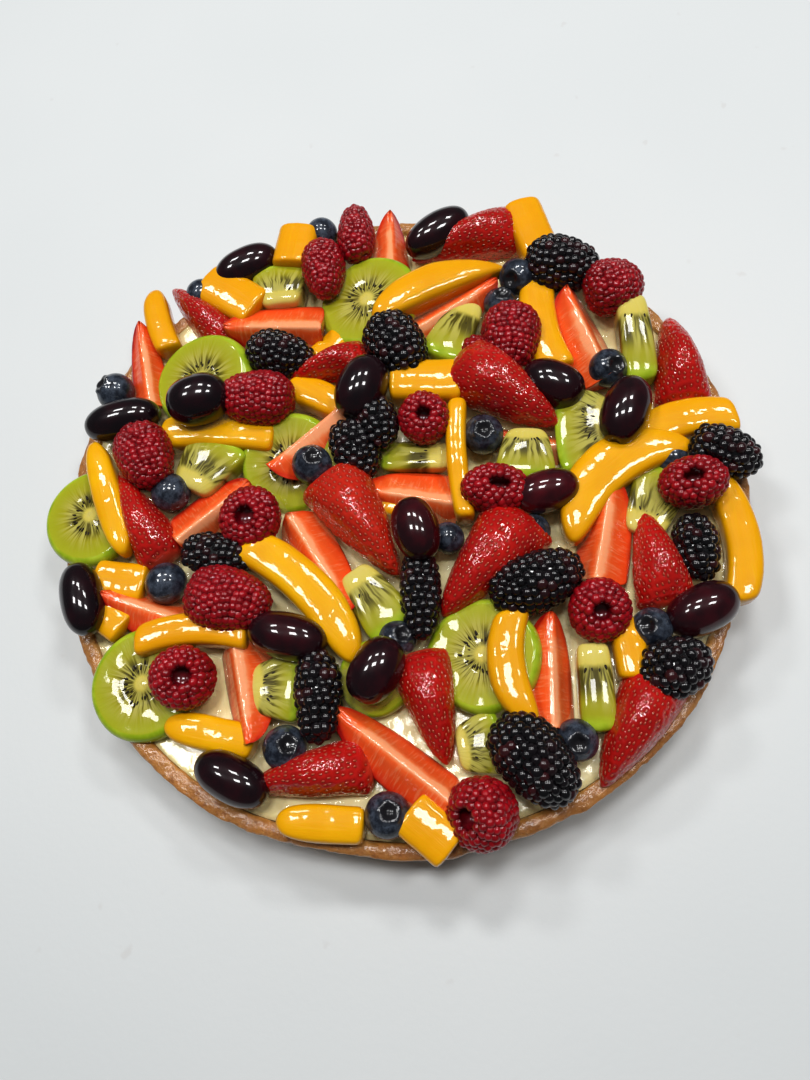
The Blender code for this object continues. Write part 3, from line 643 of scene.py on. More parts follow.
def kiwi_flesh():
    """Cut kiwi: yellow core, pale rays over a dark seed zone, olive outside and a lime edge."""
    flesh = Surface("kiwi_flesh", 0.30, 0.6, 0.04, subsurface_weight=0.10, subsurface_scale=0.003)
    flesh.set_socket("Subsurface Radius", (0.7, 1.0, 0.1))
    flesh.set_socket("Specular IOR Level", 0.1)
    radius = flesh.attribute("radius")
    along_ray = flesh.maths("MULTIPLY", radius, 0.12)
    links = {"X": flesh.attribute("ray_x"), "Y": flesh.attribute("ray_y"), "Z": along_ray}
    ray = flesh.add("ShaderNodeCombineXYZ", links).outputs["Vector"]
    rays = flesh.noise(0.085, 2.0, ray)
    wobble = flesh.maths("MULTIPLY_ADD", flesh.maths("SUBTRACT", rays, 0.5), 0.14, radius)
    base = flesh.ramp(wobble, (
        (0.00, (0.64, 0.55, 0.16)),
        (0.13, (0.60, 0.50, 0.10)),
        (0.22, (0.30, 0.26, 0.025)),
        (0.60, (0.34, 0.31, 0.014)),
        (1.00, (0.37, 0.39, 0.018)),
    ))
    streak = flesh.between(rays, 0.42, 0.58)
    gap = flesh.maths("SUBTRACT", 1.0, streak)
    near = flesh.maths("SUBTRACT", flesh.between(radius, 0.14, 0.24), flesh.between(radius, 0.40, 0.68))
    far = flesh.maths("SUBTRACT", flesh.between(radius, 0.12, 0.20), flesh.between(radius, 0.48, 0.92))
    dark_share = flesh.maths("MULTIPLY", flesh.maths("MULTIPLY", near, gap), 0.88)
    pale_share = flesh.maths("MULTIPLY", flesh.maths("MULTIPLY", far, streak), 0.50)
    dark = flesh.mix(dark_share, base, (0.055, 0.042, 0.006))
    lit = flesh.mix(pale_share, dark, (0.55, 0.50, 0.15))
    rim = flesh.mix(flesh.between(flesh.noise(6.0), 0.3, 0.7), (0.27, 0.38, 0.010), (0.42, 0.52, 0.035))
    flesh.colour(flesh.mix(flesh.attribute("side"), lit, rim))
    flesh.relief(flesh.bump(rays, 0.15), flesh.glaze(0.09, 5.0))
    return flesh.material


def seed_skin():
    skin = Surface("kiwi_seed", 0.40)
    skin.set_socket("Specular IOR Level", 0.2)
    skin.colour(skin.mix(skin.noise(1.0), (0.006, 0.004, 0.003), (0.022, 0.012, 0.005)))
    skin.relief(skin.bump(skin.noise(0.5), 0.03))
    return skin.material


def mango_flesh():
    """Golden flesh under clear glaze, with painted shade that darkens it to a deeper orange low on its sides."""
    flesh = Surface("mango_flesh", 0.32, 1.0, 0.03, subsurface_weight=0.08, subsurface_scale=0.004)
    flesh.set_socket("Subsurface Radius", (1.0, 0.4, 0.05))
    flesh.set_socket("Coat IOR", 1.38)
    flesh.set_socket("Specular IOR Level", 0.1)
    fibres = flesh.noise(1.0, 3.0, flesh.stretched((0.05, 0.5, 0.5)))
    patches = flesh.between(flesh.noise(14.0, 2.0), 0.3, 0.7)
    chance = flesh.add("ShaderNodeObjectInfo").outputs["Random"]
    yellow = flesh.mix(chance, (0.82, 0.44, 0.001), (0.77, 0.35, 0.001))
    base = flesh.mix(flesh.maths("MULTIPLY", patches, 0.5), yellow, (0.70, 0.31, 0.001))
    # Painted shade, with a shift to deeper orange: the flesh darkens low on its sides.
    low = flesh.mix(flesh.maths("MULTIPLY", flesh.attribute("low"), 0.8), base, (0.52, 0.185, 0.001))
    share = flesh.maths("MULTIPLY", flesh.between(fibres, 0.5, 0.8), 0.3)
    flesh.colour(flesh.mix(share, low, (0.82, 0.47, 0.002)))
    flesh.relief(flesh.bump(fibres, 0.22), flesh.glaze(0.28, 5.0))
    return flesh.material


def blueberry_skin():
    """Blue-black skin with a grey dusty bloom and a dark crown, glazed in places."""
    skin = Surface("blueberry_skin", 0.45, 0.9, 0.04)
    skin.set_socket("Specular IOR Level", 0.15)
    bloom = skin.between(skin.noise(3.2, 5.0, roughness=0.65), 0.36, 0.68)
    base = skin.mix(bloom, (0.008, 0.011, 0.020), (0.070, 0.088, 0.120))
    specks = skin.between(skin.noise(0.7, 2.0), 0.58, 0.70)
    worn = skin.mix(skin.maths("MULTIPLY", specks, 0.7), base, (0.006, 0.007, 0.012))
    skin.colour(skin.mix(skin.attribute("crown"), worn, (0.008, 0.007, 0.009)))
    skin.relief(skin.bump(skin.noise(1.2), 0.06), skin.glaze(0.16, 3.0))
    return skin.material


def baked_crust():
    """Golden-brown shortcrust, darker on its edge, coarse and crumbly under a patchy glaze."""
    skin = Surface("baked_crust", 0.42, 1.0, 0.06)
    patches = skin.between(skin.noise(16.0, 4.0), 0.3, 0.7)
    grain = skin.noise(1.5, 4.0, roughness=0.7)
    base = skin.mix(patches, (0.50, 0.20, 0.030), (0.66, 0.33, 0.080))
    toasted = skin.mix(skin.maths("MULTIPLY", skin.attribute("toast"), 0.6), base, (0.32, 0.105, 0.014))
    share = skin.maths("MULTIPLY", skin.between(grain, 0.5, 0.75), 0.5)
    crumbs = skin.mix(share, toasted, (0.74, 0.46, 0.16))
    spots = skin.between(skin.noise(2.6, 4.0, roughness=0.75), 0.52, 0.66)
    skin.colour(skin.mix(skin.maths("MULTIPLY", spots, 0.75), crumbs, (0.24, 0.075, 0.010)))
    pits = skin.bump(skin.noise(2.4, 5.0, roughness=0.7), 0.9)
    skin.relief(skin.bump(grain, 0.5, under=pits), skin.bump(grain, 0.22, under=skin.glaze(0.5, 3.0)))
    return skin.material


def pastry_cream():
    skin = Surface("pastry_cream", 0.35, 0.6, 0.08, subsurface_weight=0.08, subsurface_scale=0.004)
    skin.set_socket("Subsurface Radius", (1.0, 0.8, 0.4))
    skin.colour(skin.mix(skin.noise(10.0), (0.94, 0.80, 0.38), (0.97, 0.89, 0.52)))
    skin.relief(skin.bump(skin.noise(3.0), 0.3), skin.glaze(0.3, 5.0))
    return skin.material


def clear_glaze():
    """Clear, faintly golden jelly. It is thin, so that most of what lies under it shows."""
    film = Surface("clear_glaze", 0.30, 1.0, 0.02)
    film.set_socket("Alpha", 0.14)
    film.set_socket("Coat IOR", 2.3)
    film.set_socket("Specular IOR Level", 0.0)
    film.colour(film.mix(film.noise(8.0), (0.88, 0.68, 0.30), (0.92, 0.78, 0.42)))
    film.relief(film.bump(film.noise(4.0), 0.1), film.glaze(0.12, 4.0))
    return film.material


def floor_paint():
    """A pale stone top with faint specks."""
    paint = Surface("floor_paint", 0.50)
    cloud = paint.mix(paint.noise(160.0, 2.0), (0.595, 0.616, 0.618), (0.645, 0.660, 0.660))
    specks = paint.between(paint.noise(11.0, 2.0), 0.70, 0.78)
    paint.colour(paint.mix(paint.maths("MULTIPLY", specks, 0.25), cloud, (0.48, 0.45, 0.43)))
    paint.relief(paint.bump(paint.noise(3.0), 0.05))
    return paint.material


# Fruit

def grape(length, width, warmth, seed):
    """A blunt oval with a small dimple at its stalk end."""
    points, faces = round_grid(48, 36)
    along = points[:, 0]
    wide = superellipse(along, 2.25)
    ring = np.maximum(np.hypot(points[:, 1], points[:, 2]), 1e-6)
    swell = 1 + 0.025 * rough(points * 2.0, 1.6, seed)
    dimple = np.exp(-((along + 1) / 0.012) ** 2) * 0.9
    shape = np.stack([
        length / 2 * along + dimple,
        width / 2 * wide * points[:, 1] / ring * swell,
        width / 2 * wide * points[:, 2] / ring * swell,
    ], axis=-1)
    shape[0, 1:] = 0
    shape[-1, 1:] = 0
    return Shape(shape, faces, warmth=warmth)


def bead_cap(segments, rings, reach=100.0):
    """The outer part of a small ball that points along +Z."""
    profile = [math.radians(reach) * step / rings for step in range(rings + 1)]
    points = [(0.0, 0.0, 1.0)]
    for angle in profile[1:]:
        for seat in range(segments):
            turn = 2 * math.pi * seat / segments
            points.append((math.sin(angle) * math.cos(turn), math.sin(angle) * math.sin(turn), math.cos(angle)))
    faces = [(0, 1 + seat, 1 + (seat + 1) % segments) for seat in range(segments)]
    faces += ring_faces(rings, segments, 1)
    return np.array(points), faces


BEAD_CAP = bead_cap(8, 4)


def bead(centre, normal, size, chance):
    """A slightly oval drupelet with its round end along the normal."""
    points, faces = BEAD_CAP
    turn = np.array(Vector(normal).to_track_quat("Z", "Y").to_matrix())
    # height runs from the bead's base to its top; the raspberry material paints shade at the base from it.
    height = np.clip((points[:, 2] + 0.2) / 1.2, 0, 1)
    form = np.array([chance.uniform(0.90, 1.12), chance.uniform(0.90, 1.12), chance.uniform(0.92, 1.05)])
    placed = (points * size * form) @ turn.T + centre
    return Shape(placed, faces, tone=chance.random(), height=height)


def berry_profile(taper, hollow):
    """Places along and shares of the width, from the stalk end to the tip."""
    steps = np.linspace(0.0, math.pi, 120)
    along = -np.cos(steps)
    share = superellipse(along, 2.3) * (1 - taper * along)
    if hollow:
        keep = (along > 0) | (share > 0.46)
        along = along[keep]
        share = share[keep]
    return along, share


def bead_rows(length, width, depth, taper, pitch, fill, hollow, chance):
    """Centres, normals and sizes of the beads in rows from the stalk end to the tip."""
    along, share = berry_profile(taper, hollow)
    mean = (width + depth) / 4
    x = length / 2 * along
    radius = mean * share
    steps = np.hypot(np.diff(x), np.diff(radius))
    travelled = np.concatenate([[0.0], np.cumsum(steps)])
    count = max(3, round(travelled[-1] / (pitch * 0.86)))
    beads = []
    for row in range(count + 1):
        place = travelled[-1] * row / count
        here_x = np.interp(place, travelled, x)
        here_r = np.interp(place, travelled, radius)
        ahead_x = np.interp(place + 0.5, travelled, x) - np.interp(place - 0.5, travelled, x)
        ahead_r = np.interp(place + 0.5, travelled, radius) - np.interp(place - 0.5, travelled, radius)
        seats = max(1, round(2 * math.pi * here_r / pitch))
        for seat in range(seats):
            turn = 2 * math.pi * (seat + 0.5 * (row % 2) + chance.uniform(-0.2, 0.2)) / seats
            lift = here_r if seats > 1 else 0.0
            point = np.array([
                here_x + chance.uniform(-0.45, 0.45),
                lift * math.cos(turn) * width / 2 / mean,
                lift * math.sin(turn) * depth / 2 / mean,
            ])
            normal = np.array([-ahead_r, ahead_x * math.cos(turn), ahead_x * math.sin(turn)])
            normal = normal / max(np.linalg.norm(normal), 1e-6)
            beads.append((point, normal, pitch * fill * chance.uniform(*BEAD_SIZE)))
    return beads


def berry(length, width, depth, taper, pitch, sink, fill, hollow, matrix, seed):
    """A berry of many beads on a core, with an open hollow at its stalk end if it shows.

    Beads lie sunk by a share of their size. Those that face the cream are left out.
    """
    chance = random.Random(seed)
    inset = 2 * (1 - sink) * BEAD_SIZE[0] * pitch * fill
    beads = bead_rows(length - inset, width - inset, depth - inset, taper, pitch, fill, hollow, chance)
    up = np.array(matrix.to_3x3())[2]
    shapes = []
    for point, normal, size in beads:
        shape = bead(point - normal * size * sink, normal, size, chance)
        if float(up @ normal) > -0.6:
            shapes.append(shape)
    points, faces = round_grid(32, 32)
    along = points[:, 0]
    core = points * (np.array([length, width, depth]) / 2 - pitch * 0.36)
    core[:, 1:] *= (1 - taper * along)[:, None]
    if hollow:
        bowl = np.clip((-along - HOLLOW_START) / (1 - HOLLOW_START), 0, 1)
        core[:, 0] += bowl ** 0.35 * length * HOLLOW_DEPTH
        # The core's height value makes the raspberry material paint shade on it where it shows between the
        # beads.
        shapes.append(Shape(core, faces, hollow=np.clip(bowl * 6, 0, 1), height=0.5))
    else:
        # The core's low height value makes the raspberry material paint it dark as shade between the beads.
        shapes.append(Shape(core, faces, height=0.15))
    return joined(shapes)


def half_outline(along):
    """Share of a halved strawberry's width, from -1 at its broad stalk end to 1 at its tip."""
    return tapered(along, 0.09, 1.30, 0.62)


def wedge_outline(along):
    """Share of a strawberry wedge's width, fuller and rounder at the tip."""
    return tapered(along, 0.10, 2.4, 0.45)


def tapered(along, shoulder, fullness, bluntness):
    place = (along + 1) / 2
    near = np.sqrt(np.clip(1 - (1 - place / shoulder) ** 2, 0, 1))
    far = (1 - np.clip((place - shoulder) / (1 - shoulder), 0, 1) ** fullness) ** bluntness
    return np.where(place < shoulder, near, far)


def half_rise(along):
    """Share of a halved strawberry's height, which slopes down to its stalk end as well."""
    return tapered(along, 0.42, 1.45, 0.62)


def half_skin(along, turn, length, width, height, seed):
    """Points of a halved strawberry's skin; turn runs round the X axis from +Y over the top."""
    reach = np.sqrt(np.clip(1 - along ** 2, 0, 1))
    unit = np.stack([along, reach * np.cos(turn), reach * np.sin(turn)], axis=-1)
    wave = 1 + 0.07 * rough(unit, 0.7, seed)
    y = width / 2 * half_outline(along) * np.cos(turn) * wave
    z = height * half_rise(along) * np.sin(turn) * wave
    return np.stack([length / 2 * along, y, np.where(z < 0, z * 0.05, z)], axis=-1)


def achene_places(length, width, height, pitch, seed):
    """Places and outward directions of the seeds on the upper skin, in staggered rows."""
    chance = random.Random(seed)
    rows = max(4, round(length / pitch / 0.9))
    along = []
    turn = []
    for row in range(1, rows):
        here = -1 + 2 * (row + chance.uniform(-0.1, 0.1)) / rows
        half_width = width / 2 * float(half_outline(np.array(here)))
        rise = height * float(half_rise(np.array(here)))
        seats = max(1, round(math.pi * (half_width + rise) / 2 / pitch))
        for seat in range(seats):
            along.append(here + chance.uniform(-0.03, 0.03))
            turn.append(math.pi * (seat + 0.25 + 0.5 * (row % 2) + chance.uniform(-0.26, 0.26)) / seats)
    along = np.array(along)
    turn = np.array(turn)
    step = 0.01
    size = (length, width, height, seed)
    ahead = half_skin(along + step, turn, *size) - half_skin(along - step, turn, *size)
    around = half_skin(along, turn + step, *size) - half_skin(along, turn - step, *size)
    normals = outward(np.cross(around, ahead))
    return half_skin(along, turn, *size), normals


def achene(place, normal, along):
    """A seed that lies in its pit with its point towards the tip."""
    points, faces = round_grid(5, 4)
    points = points * np.array([0.70, 0.42, 0.28])
    side = normal.cross(along).normalized()
    front = side.cross(normal).normalized()
    turn = np.array([front, side, normal]).T
    return Shape(points @ turn.T + np.array(place - normal * PIT_DEPTH * 0.6), faces, 1)


def strawberry(length, width, height, warmth, seed):
    """A halved strawberry with its skin up: seeded pits over a cone with broad shoulders."""
    points, faces = round_grid(92, 72)
    along = points[:, 0]
    shape = half_skin(along, np.arctan2(points[:, 2], points[:, 1]), length, width, height, seed)
    places, normals = achene_places(length, width, height, ACHENE_PITCH, seed)
    tree = kdtree.KDTree(len(places))
    for index, place in enumerate(places):
        tree.insert(place, index)
    tree.balance()
    far = np.array([tree.find(Vector(point))[2] for point in shape])
    # pit is the depth of each seed pit; the skin material also paints shade in the pits from it.
    pit = np.exp(-(far / 1.0) ** 2)
    shape -= outward(shape * np.array([0.25, 1, 1])) * (PIT_DEPTH * pit)[:, None]
    stalk = np.clip((-along - 0.86) / 0.14, 0, 1)
    ahead = Vector((1, 0, 0))
    seeds = [achene(Vector(place), Vector(normal), ahead) for place, normal in zip(places, normals)]
    return joined([Shape(shape, faces, pit=pit, stalk=stalk, warmth=warmth)] + seeds)


def wedge(length, radius, pale_side, seed):
    """A quarter strawberry on its skin: two cut faces rise to a ridge on the X axis."""
    slope = math.radians(50.0)
    rows = 44
    side_steps = 16
    skin_steps = 14
    section = []
    for step in range(side_steps):
        section.append((step / side_steps, -slope, step / side_steps))
    for step in range(skin_steps + 1):
        section.append((1.0, -slope - (math.pi - 2 * slope) * step / skin_steps, 1.0))
    for step in range(side_steps - 1, 0, -1):
        section.append((step / side_steps, -math.pi + slope, step / side_steps))
    reach = np.array([row[0] for row in section])
    angle = np.array([row[1] for row in section])
    across = np.array([row[2] for row in section])
    along = -np.cos(np.linspace(0.03, math.pi - 0.03, rows))
    share = wedge_outline(along)
    x = np.repeat(length / 2 * along[:, None], len(section), axis=1)
    y = radius * share[:, None] * (reach * np.cos(angle))[None]
    z = radius * share[:, None] * (reach * np.sin(angle))[None]
    sag = np.sin(np.clip(across, 0, 1) * math.pi) * radius * 0.05
    z = z - sag[None] * share[:, None] - ((1 - np.clip(across * 3, 0, 1)) ** 1.6)[None] * RIDGE_ROUNDING
    points = np.stack([x, y, z], axis=-1).reshape(-1, 3)
    points += outward(points) * (0.22 * rough(points, 2.2, seed))[:, None]
    faces = [face[::-1] for face in ring_faces(rows, len(section))]
    count = len(section)
    faces.append(tuple(range(count)))
    faces.append(tuple((rows - 1) * count + seat for seat in reversed(range(count))))
    spread = np.repeat(across[None], rows, axis=0).reshape(-1)
    tip = np.repeat(np.clip((along - 0.45) / 0.55, 0, 1)[:, None], count, axis=1).reshape(-1)
    pale = np.clip(0.5 + points[:, 1] * pale_side / (radius * 0.25), 0, 1) * (1 - 0.6 * tip)
    return Shape(points, faces, across=np.clip(spread + 0.35 * tip, 0, 1), pale=pale)


def kiwi_seed(x, y, z, turn, chance):
    """A flat black seed that points at the core."""
    points, faces = round_grid(8, 6)
    points = points * np.array([1.10, 0.46, 0.36]) * chance.uniform(0.75, 1.05)
    points[:, 1] *= 1 - 0.35 * points[:, 0] / 1.15
    spin = Matrix.Rotation(turn + chance.uniform(-0.2, 0.2), 4, "Z")
    return Shape(points, faces, 1).moved(Matrix.Translation((x, y, z)) @ spin)


def kiwi_slice(radius, thickness, seed):
    """A round slice: yellow core, uneven seeds round it, and a peeled edge that slopes outwards."""
    chance = random.Random(seed)
    half = thickness / 2
    face = radius * KIWI_FACE
    top = [(face * step / 26, half) for step in range(26)]
    top += [(face + (radius - face) * math.sin(math.radians(angle)),
             half - thickness * 0.62 * (1 - math.cos(math.radians(angle)))) for angle in range(0, 91, 9)]
    under = [(radius, -half * 0.55), (radius - 0.8, -half)]
    under += [(share * radius, -half) for share in (0.6, 0.3, 0.0)]
    points, faces = lathe_grid(top + under, 96)
    reach = np.hypot(points[:, 0], points[:, 1])
    unit = points[:, :2] / np.maximum(reach, 1e-6)[:, None]
    rim = 1 + 0.03 * rough(np.column_stack([unit * 1.2, np.zeros(len(unit))]), 1.0, seed)
    side = np.clip((reach - face) / (radius * 0.03), 0, 1)
    upper = (points[:, 2] > half * 0.5) & (reach < face + 0.5)
    points[:, :2] *= rim[:, None]
    swell = 0.45 * np.exp(-(reach / radius / 0.16) ** 2) + 0.14 * rough(points, 5.0, seed)
    swell -= 0.45 * np.exp(-((reach / radius - 0.34) / 0.12) ** 2)
    points[:, 2] += np.where(upper, swell, 0.0)
    body = Shape(points, faces, radius=np.clip(reach / face, 0, 1), side=side,
                 ray_x=unit[:, 0], ray_y=unit[:, 1])
    seeds = []
    count = round(radius * 1.35)
    for number in range(count):
        turn = 2 * math.pi * (number + chance.uniform(-0.45, 0.45)) / count
        reach = radius * chance.uniform(0.21, 0.40)
        sunk = half - 0.35
        seeds.append(kiwi_seed(reach * math.cos(turn), reach * math.sin(turn), sunk, turn, chance))
    return joined([body] + seeds)


def kiwi_chunk(length, width, thickness, seed):
    """A piece of a thick slice, from its core at -X out to the skin side at +X."""
    chance = random.Random(seed)
    points, faces = round_grid(48, 40)
    box = blunt(points, 0.27)
    core_share = 0.9 if width < 0.6 * length else 0.5
    place = (box[:, 0] + 1) / 2
    spread = core_share + (1 - core_share) * np.sqrt(np.clip(place, 0, 1))
    bulge = 0.12 * (1 - box[:, 1] ** 2) * np.clip(box[:, 0], 0, 1)
    x = length / 2 * (box[:, 0] + bulge)
    y = width / 2 * spread * box[:, 1]
    z = thickness / 2 * box[:, 2] * (1.08 - 0.20 * (box[:, 0] ** 2 + box[:, 1] ** 2))
    shape = np.stack([x, y, z], axis=-1)
    shape += outward(shape) * (0.30 * rough(shape, 8.0, seed))[:, None]
    away = np.hypot(shape[:, 0] + length * 0.5, 0.55 * shape[:, 1]) / (length * 1.02)
    turn = np.arctan2(shape[:, 1], shape[:, 0] + length * 0.75)
    radius = np.where(away < CHUNK_CORE, away * 0.5, CHUNK_CORE * 0.5 + (away - CHUNK_CORE) * 1.15)
    body = Shape(shape, faces, radius=np.clip(radius, 0, 1), side=np.clip((away - 0.86) / 0.1, 0, 1),
                 ray_x=np.cos(turn), ray_y=np.sin(turn))
    seeds = []
    count = max(4, round(width * 0.32))
    for number in range(count):
        across = width * 0.42 * (-1 + 2 * (number + 0.5) / count)
        seed_x = length * (chance.uniform(CHUNK_CORE, CHUNK_CORE + 0.22) - 0.5)
        seed_turn = math.atan2(across, seed_x + length * 0.75)
        seeds.append(kiwi_seed(seed_x, across * core_share, thickness / 2 - 0.1, seed_turn, chance))
    return joined([body] + seeds)


def end_share(along, ends):
    """Share of the full width towards a cut, a round or a tapered end."""
    shares = []
    for form in ends:
        power, root = MANGO_ENDS[form]
        shares.append((1 - np.abs(along) ** power) ** (1 / root))
    return np.where(along < 0, shares[0], shares[1])


def mango(length, width, thickness, bend, ends, seed):
    """A slice or block of mango: crisp edges, a slightly domed top and uneven cut faces."""
    rows, columns = 48, 40
    along = -np.cos(np.pi * np.arange(1, rows) / rows)
    around = 2 * np.pi * np.arange(columns) / columns
    share = end_share(along, ends)
    across = blunt(np.cos(around), 0.42)
    rise = blunt(np.sin(around), 0.42) * (1 - 0.14 * across ** 2)
    x = np.repeat(length / 2 * along[:, None], columns, axis=1)
    y = width / 2 * share[:, None] * across[None] - (bend * (2 * along ** 2 - 1))[:, None]
    z = thickness / 2 * np.sqrt(share)[:, None] * rise[None]
    middle = np.stack([x, y, z], axis=-1).reshape(-1, 3)
    points = np.vstack([[[-length / 2, -bend, 0]], middle, [[length / 2, -bend, 0]]])
    points += outward(points) * (0.35 * rough(points, 11.0, seed) + 0.10 * rough(points, 2.5, seed + 3))[:, None]
    last = len(points) - 1
    start = last - columns
    faces = [(0, 1 + (seat + 1) % columns, 1 + seat) for seat in range(columns)]
    faces += [face[::-1] for face in ring_faces(rows - 1, columns, 1)]
    faces += [(last, start + seat, start + (seat + 1) % columns) for seat in range(columns)]
    # low grows towards the piece's underside; the mango material paints shade and a deeper orange from it.
    low = np.clip((thickness * 0.42 - points[:, 2]) / (thickness * 0.5), 0, 1)
    return Shape(points, faces, low=low)


def blueberry(width, seed):
    """A slightly flat ball whose crown of five lobes stands round a pit at +X."""
    points, faces = round_grid(36, 38)
    polar = np.arccos(np.clip(points[:, 0], -1, 1))
    phi = np.arctan2(points[:, 2], points[:, 1])
    star = 0.5 + 0.5 * np.cos(5 * phi + seed)
    lobes = np.exp(-((polar - 0.40 - 0.08 * star) / 0.115) ** 2) * (0.30 + 0.70 * star)
    pit = np.exp(-(polar / 0.30) ** 4)
    radius = width / 2 * (1 + 0.02 * rough(points, 0.8, seed)) + 0.75 * lobes - 1.7 * pit
    shape = points * radius[:, None] * np.array([0.93, 1.0, 1.0])
    crown = np.clip(np.exp(-(polar / 0.52) ** 8), 0, 1)
    return Shape(shape, faces, crown=crown)


def blueberry_pose(x, y, z, width, crown):
    """The crown points up, tilted to where it shows, or down where it doesn't."""
    if crown is None:
        return pose(x, y, z, 40 * x, -80)
    tilt = math.degrees(math.asin(min(0.9, math.hypot(*crown) / (width / 2))))
    return pose(x, y, z, math.degrees(math.atan2(crown[1], crown[0])), 90 - tilt)


# Shell and cream

def waves(angle, terms):
    return sum(size * np.sin(count * angle + start) for count, size, start in terms)


def waved(profile, segments):
    """The profile turned round Z, with the shell's slow waves."""
    points, faces = lathe_grid(profile, segments)
    radius = np.hypot(points[:, 0], points[:, 1])
    angle = np.arctan2(points[:, 1], points[:, 0])
    wave = waves(angle, SHELL_WAVES) * (radius / SHELL_RADIUS) ** 4
    stretch = (radius + wave) / np.maximum(radius, 1.0)
    rim = np.clip((points[:, 2] - CREAM_TOP) / (SHELL_HEIGHT - CREAM_TOP), 0, 1)
    points[:, 0] *= stretch
    points[:, 1] *= stretch
    points[:, 2] += rim * waves(angle, RIM_WAVES)
    return points, faces


def crust():
    """The baked shell: floor, wall and an uneven crumbly rim."""
    inner_top = SHELL_RADIUS - WALL
    inner_foot = inner_top - SHELL_TAPER
    outer_foot = SHELL_RADIUS - SHELL_TAPER
    profile = [(0.0, 3.5), (inner_foot - 8, 3.5), (inner_foot, 3.8)]
    profile += [(inner_foot + SHELL_TAPER * step / 8, 3.8 + (23.4 - 3.8) * step / 8) for step in range(1, 9)]
    crest = WALL / 2
    for step in range(9):
        angle = math.pi - math.pi * step / 8
        profile.append((inner_top + crest + crest * math.cos(angle), 23.8 + 1.3 * math.sin(angle)))
    profile += [(SHELL_RADIUS - SHELL_TAPER * step / 16, 23.4 - 22.6 * step / 16) for step in range(17)]
    profile += [(outer_foot - 0.6, 0.0), (outer_foot - 8, 0.0), (0.0, 0.0)]
    points, faces = waved(profile, 480)
    reach = np.hypot(points[:, 0], points[:, 1])
    wall = (reach > inner_top - 1.0) & (points[:, 2] > 0.5)
    crumb = 0.6 * rough(points, 6.0, 1) + 0.45 * rough(points, 2.2, 2)
    shift = np.where(wall, crumb, 0.0)
    points += outward(points * np.array([1, 1, 0.0])) * shift[:, None]
    points[:, 2] += np.where(wall & (points[:, 2] > 22), 0.7 * rough(points, 2.6, 4), 0.0)
    toast = np.clip((points[:, 2] - 20) / 5, 0, 1) * np.clip((reach - inner_top) / 2, 0, 1)
    return Shape(points, [face[::-1] for face in faces], toast=toast)


def cream():
    """Pastry cream up to just under the rim, slightly uneven where it shows."""
    edge = SHELL_RADIUS - WALL - 0.2
    profile = [(edge * step / 60, CREAM_TOP) for step in range(61)]
    profile += [(edge - SHELL_TAPER, 4.0), (0.0, 4.0)]
    points, faces = waved(profile, 150)
    upper = points[:, 2] > 20
    points[:, 2] += np.where(upper, 0.6 * rough(points, 9.0, 8) + 0.2 * rough(points, 3.0, 9), 0.0)
    return Shape(points, faces)


# Building the tart

def numbered(kind, number):
    return f"{kind}_{number:02d}"


def make_grapes():
    skin = grape_skin()
    for number, (x, y, z, turn, length, width, warmth) in enumerate(GRAPES, 1):
        name = numbered("grape", number)
        shape = grape(length, width, warmth, number)
        make_piece(name + "_skin", shape, [skin], pose(x, y, z, turn), [name])


def make_brambles():
    skin = bramble_skin()
    for number, (x, y, z, turn, length, width) in enumerate(BRAMBLES, 1):
        name = numbered("bramble", number)
        matrix = pose(x, y, z, turn)
        shape = berry(length, width, width * 0.95, 0.10, BRAMBLE_PITCH, BRAMBLE_SINK, BRAMBLE_FILL,
                      False, matrix, number)
        make_piece(name + "_beads", shape, [skin], matrix, [name])


def make_raspberries():
    skin = raspberry_skin()
    for number, (x, y, z, turn, lift, length, width, depth) in enumerate(RASPBERRIES, 1):
        name = numbered("raspberry", number)
        matrix = pose(x, y, z, turn, lift)
        hollow = lift < OPEN_LIFT
        shape = berry(length, width, depth, 0.16, RASPBERRY_PITCH, RASPBERRY_SINK, RASPBERRY_FILL,
                      hollow, matrix, 40 + number)
        make_piece(name + "_beads", shape, [skin], matrix, [name])
    x, y, z, turn, lift, length, width, depth = HIDDEN_RASPBERRY
    matrix = pose(x, y, z, turn, lift)
    shape = berry(length, width, depth, 0.16, RASPBERRY_PITCH, RASPBERRY_SINK, RASPBERRY_FILL,
                  False, matrix, 60)
    make_piece("raspberry_part_hidden", shape, [skin], matrix, ["cream_with_fruit"])


def make_strawberries():
    skins = [strawberry_skin(), achene_skin()]
    for number, (x, y, z, turn, length, width, height) in enumerate(STRAWBERRIES, 1):
        name = numbered("strawberry", number)
        warmth = 0.6 if number == 7 else 0.1
        shape = strawberry(length, width, height, warmth, 80 + number)
        make_piece(name + "_half", shape, skins, pose(x, y, z, turn), [name])


def make_kiwis():
    looks = [kiwi_flesh(), seed_skin()]
    for number, (x, y, z, toward, lean, radius, thickness) in enumerate(KIWI_SLICES, 1):
        name = numbered("kiwi_slice", number)
        shape = kiwi_slice(radius, thickness, 100 + number)
        make_piece(name + "_cut", shape, looks, leaning(x, y, z, toward, lean), [name])
    for number, (x, y, z, toward, lean, radius, thickness) in enumerate(LOW_KIWI_SLICES, 1):
        shape = kiwi_slice(radius, thickness, 110 + number)
        name = numbered("kiwi_low_slice", number)
        make_piece(name, shape, looks, leaning(x, y, z, toward, lean), ["cream_with_fruit"])
    for number, (x, y, z, turn, lean, length, width, thickness) in enumerate(KIWI_CHUNKS, 1):
        shape = kiwi_chunk(length, width, thickness, 120 + number)
        name = numbered("kiwi_piece", number)
        make_piece(name, shape, looks, pose(x, y, z, turn, lean), ["cream_with_fruit"])


